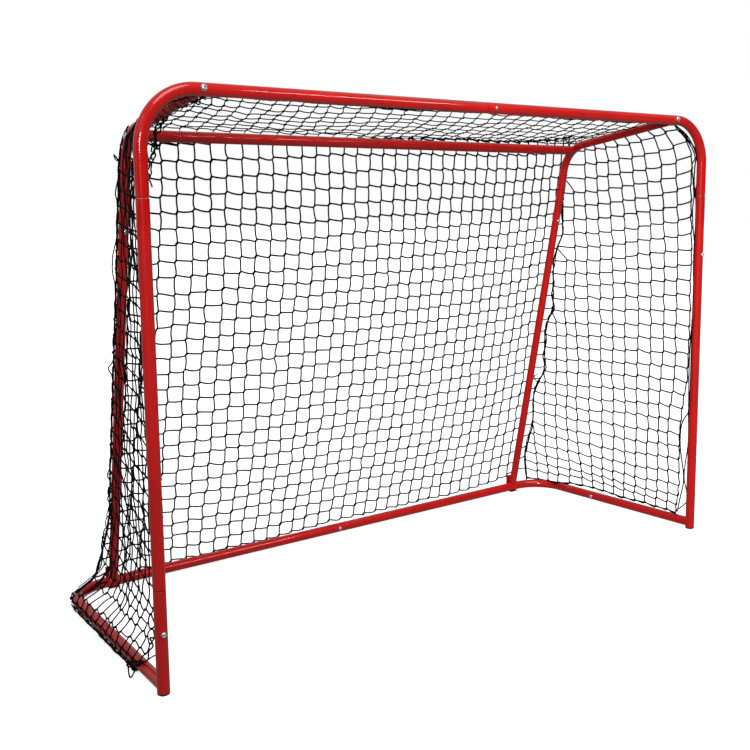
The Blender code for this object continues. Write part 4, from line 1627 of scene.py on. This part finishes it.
@dataclass
class NetRopes:
    """The cords along the net's seams, front edges, hem and crossbar.

    One generator serves them all, so that they have to be made in build's order. Those of one
    edge make up one piece.

    Attributes:
        net: the net whose edges they follow.
        dresser: gives the pieces their finish.
        seed: the generator's seed.
        lace_turns, lace_from, lace_run: how many times the lacing goes round the side tube, how
            far behind the crossbar it begins and how far along the tube it goes.
        gather_points: places along the gathered edge of the roof.
    """

    net: NetBag
    dresser: Dresser
    seed: int = 51
    lace_turns: float = 10.0
    lace_from: float = 0.030
    lace_run: float = 0.270
    gather_points: int = 80

    def __post_init__(self) -> None:
        """Start the generator and the first piece."""
        self.rng = np.random.default_rng(self.seed)
        self.maker = MeshMaker()

    def _lay(self, path: Array, radius: float, step: float = 0.0030) -> None:
        """Lay one rope along a path, as part of the piece in hand."""
        LaidRope(path, radius, step).build(self.maker)

    def _stray(self, count: int, reach: int, size: Union[float, Array]) -> Array:
        """Smooth random displacements of a path's points, moving together over reach of them."""
        return wander(self.rng, (count, 1), reach)[:, 0] * size

    def _end_piece(self, name: str, node_name: str) -> None:
        """Finish the piece in hand and start another."""
        self.dresser.finish(self.maker.build(name, SMOOTH_CORD), Slot.CORD, node_name)
        self.maker = MeshMaker()

    def left_seam(self) -> None:
        """Two cords down the left seam, its frayed foot, the gathered corner and the lacing."""
        z = np.linspace(1.091, 0.036, 70)
        weave = self._stray(70, 3, 0.0011)
        seam = self.net.left_seam(z)
        self._lay(seam + weave * 0.7, 0.0017)
        away = np.array([-0.93, 0.37, 0.0])
        loops = curve((380, 520, 541, 552, 563, 585, 740, 780, 815, 850, 930, 955, 985, 1030,
                       1060), (1, 1, 4, 13, 4, 1, 1, 9, 7, 1, 1, 6, 2, 1, 1), z)
        loose = seam + away * loops[:, None] + weave[::-1] * 1.2
        self._lay(loose[2:52], 0.0014)
        for radius, first in ((0.0016, 48), (0.0013, 54)):
            frayed = self._stray(70, 1, 0.0036) + away * 0.0010
            self._lay(seam[first:] + frayed[first:], radius)
        self._lay(metres((-678, 397, 1014), (-682, 399, 1024), (-688, 403, 1034)), 0.0018)
        self._lay(metres((-677, 395, 1022), (-684, 400, 1021), (-688, 403, 1032)), 0.0013)
        self._gathered()
        self._lacing()
        self._end_piece("net_seam_rope_left", "net_rope_corner_left")

    def _gathered(self) -> None:
        """The roof's left edge, gathered into a bunch under the side tube and its bend."""
        knots = metres((-672, 8, 1127), (-666, 30, 1123), (-665, 74, 1122), (-664, 121, 1120),
                       (-663, 154, 1117), (-662, 195, 1100), (-661, 232, 1081),
                       (-660, 251, 1054), (-660, 252, 1038), (-660, 270, 1018),
                       (-660, 283, 994), (-660, 286, 962))
        count = self.gather_points
        line = pull(np.arange(12.0), np.linspace(0.0, 11.0, count)) @ knots
        for short, radius in ((0, 0.0016), (3, 0.0016), (10, 0.0013), (14, 0.0013)):
            stray = self._stray(count, 2, 0.0034)
            self._lay(line[:count - short] + stray[:count - short], radius)

    def _lacing(self) -> None:
        """The cord wound round the left side tube, its turns neither even nor tight."""
        turns = np.linspace(0.0, self.lace_turns, 180)
        start, bend, _ = side_axis(-1)
        along = unit(bend - start)
        reach = self.lace_from + turns / self.lace_turns * self.lace_run
        angle = 2 * math.pi * turns + 0.9 * np.sin(2.3 * turns)
        wide = 0.0124 + 0.0022 * (0.5 + 0.5 * np.sin(2.3 * turns))
        self._lay(start + along * reach[:, None] + np.cos(angle)[:, None] * wide[:, None] * X
                  + np.sin(angle)[:, None] * wide[:, None] * np.cross(along, X), 0.0010, 0.0025)

    def right_seam(self) -> None:
        """Two ragged cords down the right seam and the tuft of a knot on it."""
        weave = self._stray(60, 3, 0.0012)
        ragged = self._stray(60, 1, 0.0016)
        seam = self.net.right_seam(np.linspace(1.082, 0.006, 60))
        self._lay(seam + weave + ragged, 0.0019)
        self._lay(seam + weave[::-1] * 1.3 + ragged[::-1], 0.0015)
        self._lay(metres((742, 562, 352), (738, 574, 362), (735, 572, 374), (739, 560, 378)),
                  0.0016)
        self._end_piece("net_seam_rope_right", "net_rope_corner_right")

    def left_front(self) -> None:
        """The cord down the left post, the ends knotted at its foot and those along the hem."""
        self._lay(self.net.left_front(np.linspace(1.125, 0.13, 56)) + self._stray(56, 3, 0.0015),
                  0.0015)
        for radius, places in (
                (0.0017, ((-788, 18, 128), (-800, 27, 106), (-799, 56, 93), (-799, 43, 82),
                          (-801, 60, 66), (-799, 72, 43), (-803, 92, 30), (-812, 108, 22),
                          (-816, 124, 14), (-812, 151, 8))),
                (0.0014, ((-799, 15, 71), (-799, 34, 66), (-801, 60, 50), (-803, 82, 36),
                          (-808, 100, 32), (-815, 118, 24), (-815, 140, 10))),
                (0.0014, ((-800, 92, 34), (-812, 108, 31), (-816, 130, 21), (-811, 148, 6))),
                (0.0015, ((-818, 127, 20), (-823, 112, 8), (-825, 101, 3), (-817, 108, 3),
                          (-811, 116, 4), (-806, 117, 6)))):
            self._lay(metres(*places), radius)
        for lift, out, radius, end in ((0.0055, 0.0105, 0.0017, 0.532),
                                       (0.0115, 0.0142, 0.0015, 0.532),
                                       (0.0085, 0.0135, 0.0019, 0.330)):
            y = np.linspace(0.112, end, 36)
            path = np.stack([base_side_x(y, np.full(36, out)), y, np.full(36, lift)], -1)
            self._lay(path + self._stray(36, 2, np.array([0.0010, 0.0, 0.0012])), radius)
        self._end_piece("net_front_rope_left", "net_rope_post_left")

    def right_front(self) -> None:
        """Two cords down the right post, one round the hoop's bend, the hem's and its loose end."""
        z = np.linspace(1.125, 0.040, 56)
        stations = (34, 70, 138, 230, 302, 338, 600, 680, 745, 927, 973, 1017, 1060, 1087, 1117)
        y = curve(stations, (44, 36, 24, 40, 36, 16, 11, 9, 13, 13, 20, 18, 13, 28, 30), z)
        y = y - 0.007
        edge = np.stack([self.net.right_x(y, z), y, z], -1)
        self._lay(edge + self._stray(56, 3, 0.001), 0.0019)
        y = curve((54, 74, 98, 150, 250, 338, 500, 745, 900, 1000, 1117),
                  (36, 14, 12, 24, 14, 16, 18, 8, 22, 10, 26), z) - 0.006
        self._lay(np.stack([self.net.right_x(y, z) + 0.002, y, z], -1), 0.0017)
        self._lay(metres((707, 20, 1125), (721, 20, 1120), (747, 20, 1102), (774, 20, 1077),
                         (787, 20, 1064), (797, 20, 1042), (785, 20, 1023), (792, 20, 983),
                         (799, 20, 929)), 0.0016)
        hem = self.net.right_hem
        self._lay(hem, 0.0020)
        self._lay(hem[0] + np.array([[0.0, 0.0, 0.0], [0.003, -0.006, -0.012],
                                     [0.001, 0.002, -0.022]]), 0.0015)
        self._end_piece("net_front_rope_right", "net_rope_post_right")

    def crossbar(self) -> None:
        """The cord along the crossbar."""
        path = np.stack([np.linspace(-0.700, 0.700, 90), np.full(90, 0.018),
                         np.full(90, 1.1275)], -1)
        self._lay(path + self._stray(90, 3, np.array([0.0, 0.0012, 0.0012])), 0.0021)
        self._end_piece("net_crossbar_rope", "net_rope_crossbar")

    def build(self) -> None:
        """Make the ropes, in the order in which they draw from the generator."""
        for edge in (self.left_seam, self.right_seam, self.left_front, self.right_front,
                     self.crossbar):
            edge()


# --------------------------------------------------------------------------- fasteners


class Recess(Enum):
    """What a head is driven by."""

    HEX = "hex"
    CROSS = "cross"


@dataclass(frozen=True)
class ScrewSize:
    """How far across a screw's shank and head are, and how high the head is."""

    shank: float
    head: float
    height: float


@dataclass(frozen=True)
class Fastener:
    """A screw with a domed head, lathed about its own axis and driven by a recess.

    Ring by ring the outline is the solid's, with the head's edge rounded and a recess sunk
    in its top. A hexagon stands r / cos(a mod 60 - 30) from the axis at the angle a, a cross
    r where q w < p r and w / p past it, p and q being the lesser and the greater of
    |cos a| and |sin a|.
    """

    node_name: str
    outward: tuple[float, float, float]
    size: ScrewSize
    recess: Recess = Recess.HEX
    sides: int = 48

    def _recess(self, angle: Array) -> Array:
        """The recess's outline.

        Args:
            angle: directions about the axis.

        Returns:
            Distances from the axis.
        """
        size = 0.26 * self.size.head
        if self.recess is Recess.HEX:
            return size / np.cos(np.mod(angle, math.pi / 3.0) - math.pi / 6.0)
        small = np.minimum(np.abs(np.cos(angle)), np.abs(np.sin(angle)))
        large = np.maximum(np.abs(np.cos(angle)), np.abs(np.sin(angle)))
        return np.minimum(size * 1.25 / large, size * 0.36 / np.maximum(small, 0.05))

    def build(self, solid: bpy.types.Object) -> bpy.types.Object:
        """Make the screw where its solid is.

        Args:
            solid: the node's solid, which tells where the axis is and how high the head.

        Returns:
            The new screw, whose mesh is already in the solids' frame.
        """
        shank, head, height = self.size.shank, self.size.head, self.size.height
        points = np.empty(len(solid.data.vertices) * 3)
        solid.data.vertices.foreach_get("co", points)
        points = points.reshape(-1, 3)
        axis = unit(np.array(self.outward))
        centre = (points.min(0) + points.max(0)) / 2 if abs(axis).max() > 0.99 else points.mean(0)
        along = points @ axis
        seat = centre + axis * (along.max() - height - centre @ axis)
        length = along.max() - height - along.min()
        angle = 2.0 * math.pi * np.arange(self.sides) / self.sides
        hole = self._recess(angle)
        outline = [(shank * 0.36, -length), (shank * 0.5, -length + shank * 0.14),
                   (shank * 0.5, -0.0004), (shank * 0.5, 0.0), (head * 0.485, 0.0),
                   (head * 0.5, height * 0.07), (head * 0.5, height * 0.16),
                   (head * 0.487, height * 0.34), (head * 0.45, height * 0.58),
                   (head * 0.40, height * 0.78), (head * 0.345, height * 0.92),
                   (head * 0.30, height * 0.985)]
        radii = [np.full(self.sides, r) for r, _ in outline]
        radii += [hole * 1.04, hole, hole * 0.94, hole * 0.5, hole * 0.1]
        levels = np.array([z for _, z in outline]
                          + [height, height * 0.97, height * 0.34, height * 0.25, height * 0.22])
        side = unit(np.cross(axis, Z if abs(axis[2]) < 0.9 else X))
        other = np.cross(side, axis)
        spoke = np.cos(angle)[:, None] * side + np.sin(angle)[:, None] * other
        rings = (seat + levels[:, None, None] * axis + np.array(radii)[..., None] * spoke)
        maker = MeshMaker()
        maker.tubes(rings[None], run=np.arange(len(levels))[None] * 1.0)
        return maker.build(self.node_name + "_screw", SMOOTH_METAL)


@dataclass(frozen=True)
class Fasteners:
    """Every screw of the goal, and bare arcs that are painted highlights where the hoop's tubes
    meet.

    Attributes:
        corner, tube, small, foot: the screws where the roof's tubes meet the crossbar, where two
            tubes join, in the middle of the crossbar and under the feet.
        glint_points: places along a bare edge.
        glint_outline: how far outside the tube and how high each corner of its section is.
    """

    corner: ScrewSize = ScrewSize(0.0080, 0.0145, 0.0044)
    tube: ScrewSize = ScrewSize(0.0060, 0.0115, 0.0033)
    small: ScrewSize = ScrewSize(0.0040, 0.0075, 0.0022)
    foot: ScrewSize = ScrewSize(0.0050, 0.0095, 0.0029)
    glint_points: int = 8
    glint_outline: tuple[tuple[float, float], ...] = (
        (0.00012, -0.0010), (0.00034, -0.0008), (0.00034, 0.0008), (0.00012, 0.0010))

    def _list(self) -> list[Fastener]:
        """Each screw with the way it faces.

        Returns:
            The screws.
        """
        s, front = SIZES, (0.0, -1.0, 0.0)
        found = [Fastener("crossbar_screw", front, self.small, Recess.CROSS),
                 Fastener("post_bolt_left", front, self.tube),
                 Fastener("post_bolt_right", front, self.tube),
                 Fastener("base_bar_bolt", front, self.tube)]
        for side, name in SIDES:
            start, bend, foot = side_axis(side)
            roof, lean = unit(bend - start), unit(foot - bend)
            forward = unit(np.array([side * (s.post_x - s.base_corner_x), -s.base_depth, 0.0]))
            inward = np.cross([0.0, 0.0, -side], forward)
            found += [
                Fastener("corner_bolt_" + name, tuple(-roof), self.corner),
                Fastener("upright_bolt_" + name, (0.0, lean[2], -lean[1]), self.tube),
                Fastener("rear_bar_bolt_" + name, (side, 0.0, 0.0), self.tube),
                Fastener("base_side_bolt_" + name, tuple(inward), self.tube),
                Fastener("foot_bolt_" + name, (0.0, 0.0, -1.0), self.foot)]
        return found

    def _glints(self) -> bpy.types.Object:
        """Short bare arcs round the posts' upper joints: painted highlights where the joints' rims
        glint.

        Returns:
            The new piece, at the origin.
        """
        s = SIZES
        maker = MeshMaker()
        # painted highlight: each arc's middle angle and half width, in degrees, set where a joint's
        # rim glints
        for x, middle, half in ((-s.post_x, -138.0, 13.0), (-s.post_x, -83.0, 8.0),
                                (s.post_x, -162.0, 9.0), (s.post_x, -124.0, 7.0)):
            angle = np.radians(np.linspace(middle - half, middle + half, self.glint_points))
            spoke = np.stack([np.cos(angle), np.sin(angle), 0 * angle], -1)
            rings = np.stack([spoke * (s.hoop_radius + out) + Z * rise
                              for out, rise in self.glint_outline], 1)
            rings = rings + np.array([x, 0.0, s.upper_joint_z])
            maker.tubes(rings[None], run=np.arange(float(self.glint_points))[None])
        return maker.build("joint_glints", 30.0)

    def build(self, solids: dict[str, bpy.types.Object], dresser: Dresser) -> None:
        """Make them all.

        Args:
            solids: the solids by node.
            dresser: gives the pieces their finish.
        """
        # the bare zinc arcs at the joints are painted highlights
        dresser.finish(self._glints(), Slot.ZINC)
        for screw in self._list():
            dresser.dress(screw.build(solids[screw.node_name]), Slot.ZINC, screw.node_name)


# ------------------------------------------------------------------------------ camera


def set_up(name: str, data: bpy.types.ID, axes: tuple[Array, Array, Array],
           place: Sequence[float]) -> bpy.types.Object:
    """Put a camera or a lamp into the scene.

    Args:
        name: the object's name.
        data: the camera or lamp.
        axes: the directions to its right, up and ahead of it, each square to the others.
        place: where it stands.

    Returns:
        The new object.
    """
    right, up, ahead = axes
    matrix = np.eye(4)
    matrix[:3, 0], matrix[:3, 1], matrix[:3, 2] = right, up, -ahead
    matrix[:3, 3] = place
    thing = add_object(name, data)
    thing.matrix_world = Matrix(matrix.tolist())
    return thing


@dataclass(frozen=True)
class Viewpoint:
    """Where the goal is looked at from, in the hoop's frame."""

    place: tuple[float, float, float] = (-1.56803, -1.79174, 0.94047)
    yaw: float = math.radians(38.422)
    pitch: float = math.radians(8.229)
    roll: float = math.radians(-0.241)
    focal: float = 50.016
    shift: tuple[float, float] = (-0.0726, -0.0366)
    sensor: float = 36.0
    clip_end: float = 120.0

    def make(self, hoop_y: float) -> None:
        """Create the scene's camera, level but for a slight roll.

        The view runs along (sin yaw cos pitch, cos yaw cos pitch, -sin pitch).

        Args:
            hoop_y: where the hoop's plane lies in the solids' frame.
        """
        data = bpy.data.cameras.new("camera")
        data.lens, data.sensor_width, data.clip_end = self.focal, self.sensor, self.clip_end
        data.shift_x, data.shift_y = self.shift
        ahead = np.array([math.sin(self.yaw) * math.cos(self.pitch),
                          math.cos(self.yaw) * math.cos(self.pitch), -math.sin(self.pitch)])
        level = np.array([math.cos(self.yaw), -math.sin(self.yaw), 0.0])
        above = np.cross(level, ahead)
        right = level * math.cos(self.roll) + above * math.sin(self.roll)
        up = -level * math.sin(self.roll) + above * math.cos(self.roll)
        bpy.context.scene.camera = set_up("camera", data, (right, up, ahead),
                                          np.array(self.place) + np.array([0.0, hoop_y, 0.0]))


@dataclass(frozen=True)
class SoftLamp:
    """A rectangular area lamp aimed at a point, size wide and height high.

    Its light keeps within beam degrees.
    """

    name: str
    place: tuple[float, float, float]
    target: tuple[float, float, float]
    size: float
    height: float
    power: float
    beam: float = 180.0

    def make(self) -> None:
        """Hang the lamp."""
        data = bpy.data.lights.new(self.name, "AREA")
        data.shape = "RECTANGLE"
        data.size, data.size_y = self.size, self.height
        data.spread, data.energy = math.radians(self.beam), self.power
        ahead = unit(np.array(self.target) - np.array(self.place))
        right = unit(np.cross(ahead, Z))
        set_up(self.name, data, (right, np.cross(right, ahead), ahead), self.place)


@dataclass(frozen=True)
class SkyLamp:
    """A patch of sky: light from a great distance, spread degrees wide."""

    name: str
    toward: tuple[float, float, float]
    strength: float
    spread: float

    def make(self) -> None:
        """Hang the lamp."""
        data = bpy.data.lights.new(self.name, "SUN")
        data.energy, data.angle = self.strength, math.radians(self.spread)
        ahead = unit(np.array(self.toward))
        right = unit(np.cross(ahead, np.array([0.0, 1.0, 0.05])))
        set_up(self.name, data, (right, np.cross(right, ahead), ahead), (0.0, 0.0, 0.0))


@dataclass(frozen=True)
class Studio:
    """A pale floor, a pale surround and soft lamps.

    The eye sees the floor and the surround almost white. What they give back to the goal is
    less, so that the tubes keep their depth of colour underneath.

    Attributes:
        lamps, suns: the area lamps and the distant ones.
        surround_seen: the surround's brightness to the eye.
        surround_above, surround_level, surround_behind: the light that it gives to the goal
            from overhead, from level and below, and on top of that from behind.
        overhead, rearward: the parts of a direction at which those lights set in.
        floor_seen, floor_lift: the floor's shade to the eye, and the brightness added to it.
        floor_given: the light that it gives to the goal.
        floor_reach: how far it goes out each way.
    """

    lamps: tuple[SoftLamp, ...] = (
        SoftLamp("lamp_left", (-2.7, 0.1, 1.45), (-0.8, -0.3, 1.0), 0.45, 1.1, 1.2),
        SoftLamp("lamp_gloss", (1.20, -2.45, 1.95), (-0.4, 0.1, 1.0), 1.0, 0.16, 12.5),
        SoftLamp("lamp_beam", (-2.3, -2.6, 1.5), (0.90, 0.05, 0.62), 0.7, 0.7, 6.5, 44.0),
    )
    suns: tuple[SkyLamp, ...] = (
        SkyLamp("lamp_key", (0.79, 0.21, -0.57), 0.12, 24.0),
        SkyLamp("lamp_top", (0.02, 0.50, -0.866), 1.40, 40.0),
    )
    surround_seen: float = 1.0
    surround_above: float = 0.40
    surround_level: float = 0.06
    surround_behind: float = 0.45
    overhead: float = 0.9
    rearward: tuple[float, float] = (0.35, 0.95)
    floor_seen: float = 0.85
    floor_lift: float = 0.80
    floor_given: float = 0.20
    floor_reach: float = 30.0

    @staticmethod
    def _ease(wiring: Wiring, value: Socket, start: float, end: float, low: float,
              high: float) -> Socket:
        """A strength that eases from low to high as a value goes from start to end.

        Args:
            wiring: the surround's nodes.
            value: what it depends on.
            start: the value up to which it is low.
            end: the value from which it is high.
            low: the lower strength.
            high: the higher strength.

        Returns:
            The strength's socket.
        """
        inputs = {"From Min": start, "From Max": end, "To Min": low, "To Max": high,
                  "Value": value}
        return wiring.add("MapRange", inputs, interpolation_type="SMOOTHSTEP").outputs["Result"]

    def _surround(self) -> None:
        """A white surround to the eye; to the goal, light from above and from behind it."""
        world = bpy.data.worlds.new("surround")
        bpy.context.scene.world = world
        world.use_nodes = True
        wiring = Wiring(world.node_tree)
        seen = world.node_tree.nodes["Background"]
        wiring.feed(seen, {"Color": (1.0, 1.0, 1.0, 1.0), "Strength": self.surround_seen})
        place = wiring.add("TexCoord", {}).outputs["Generated"]
        split = wiring.add("SeparateXYZ", {"Vector": place}).outputs
        rise = self._ease(wiring, split["Z"], 0.0, self.overhead, self.surround_level,
                          self.surround_above)
        behind = self._ease(wiring, split["Y"], *self.rearward, 0.0, self.surround_behind)
        lit = wiring.add("Background", {"Strength": wiring.math("ADD", rise, behind)})
        wiring.part_rays(seen.outputs["Background"], lit.outputs["Background"], "World Output")

    def _floor(self) -> None:
        """A wide matt floor."""
        mesh = bpy.data.meshes.new("floor")
        reach = self.floor_reach
        corners = [(-reach, -reach, 0.0), (reach, -reach, 0.0), (reach, reach, 0.0),
                   (-reach, reach, 0.0)]
        mesh.from_pydata(corners, [], [(0, 1, 2, 3)])
        floor = add_object("floor", mesh)
        material = bpy.data.materials.new("pale_floor")
        material.use_nodes = True
        tree = material.node_tree
        tree.nodes.remove(tree.nodes["Principled BSDF"])
        wiring = Wiring(tree)
        matt = wiring.add("BsdfDiffuse", {"Color": (self.floor_seen,) * 3 + (1.0,)})
        lift = wiring.add("Emission", {"Strength": self.floor_lift})
        seen = wiring.add("AddShader", {0: matt.outputs["BSDF"], 1: lift.outputs["Emission"]})
        given = wiring.add("Emission", {"Strength": self.floor_given})
        wiring.part_rays(seen.outputs["Shader"], given.outputs["Emission"], "Material Output")
        floor.data.materials.append(material)

    def make(self) -> None:
        """Build the floor, the surround and the lamps."""
        self._surround()
        self._floor()
        for lamp in self.suns + self.lamps:
            lamp.make()


# -------------------------------------------------------------------------------- main


def main() -> None:
    """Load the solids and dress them."""
    logging.basicConfig(level=logging.INFO, format="%(name)s: %(message)s")
    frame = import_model()
    low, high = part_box("post_left")
    hoop_y = (low[1] + high[1]) / 2
    Viewpoint().make(hoop_y)
    bpy.context.scene.view_settings.view_transform = "Standard"
    Studio().make()
    dresser = Dresser(hoop_y)
    log.info("tubes")
    TubeFrame().build(dresser)
    log.info("net")
    NetBag().build(dresser)
    log.info("fasteners")
    Fasteners().build(frame["nodes"], dresser)
    dresser.redress(frame["nodes"])


if __name__ == "__main__":
    main()
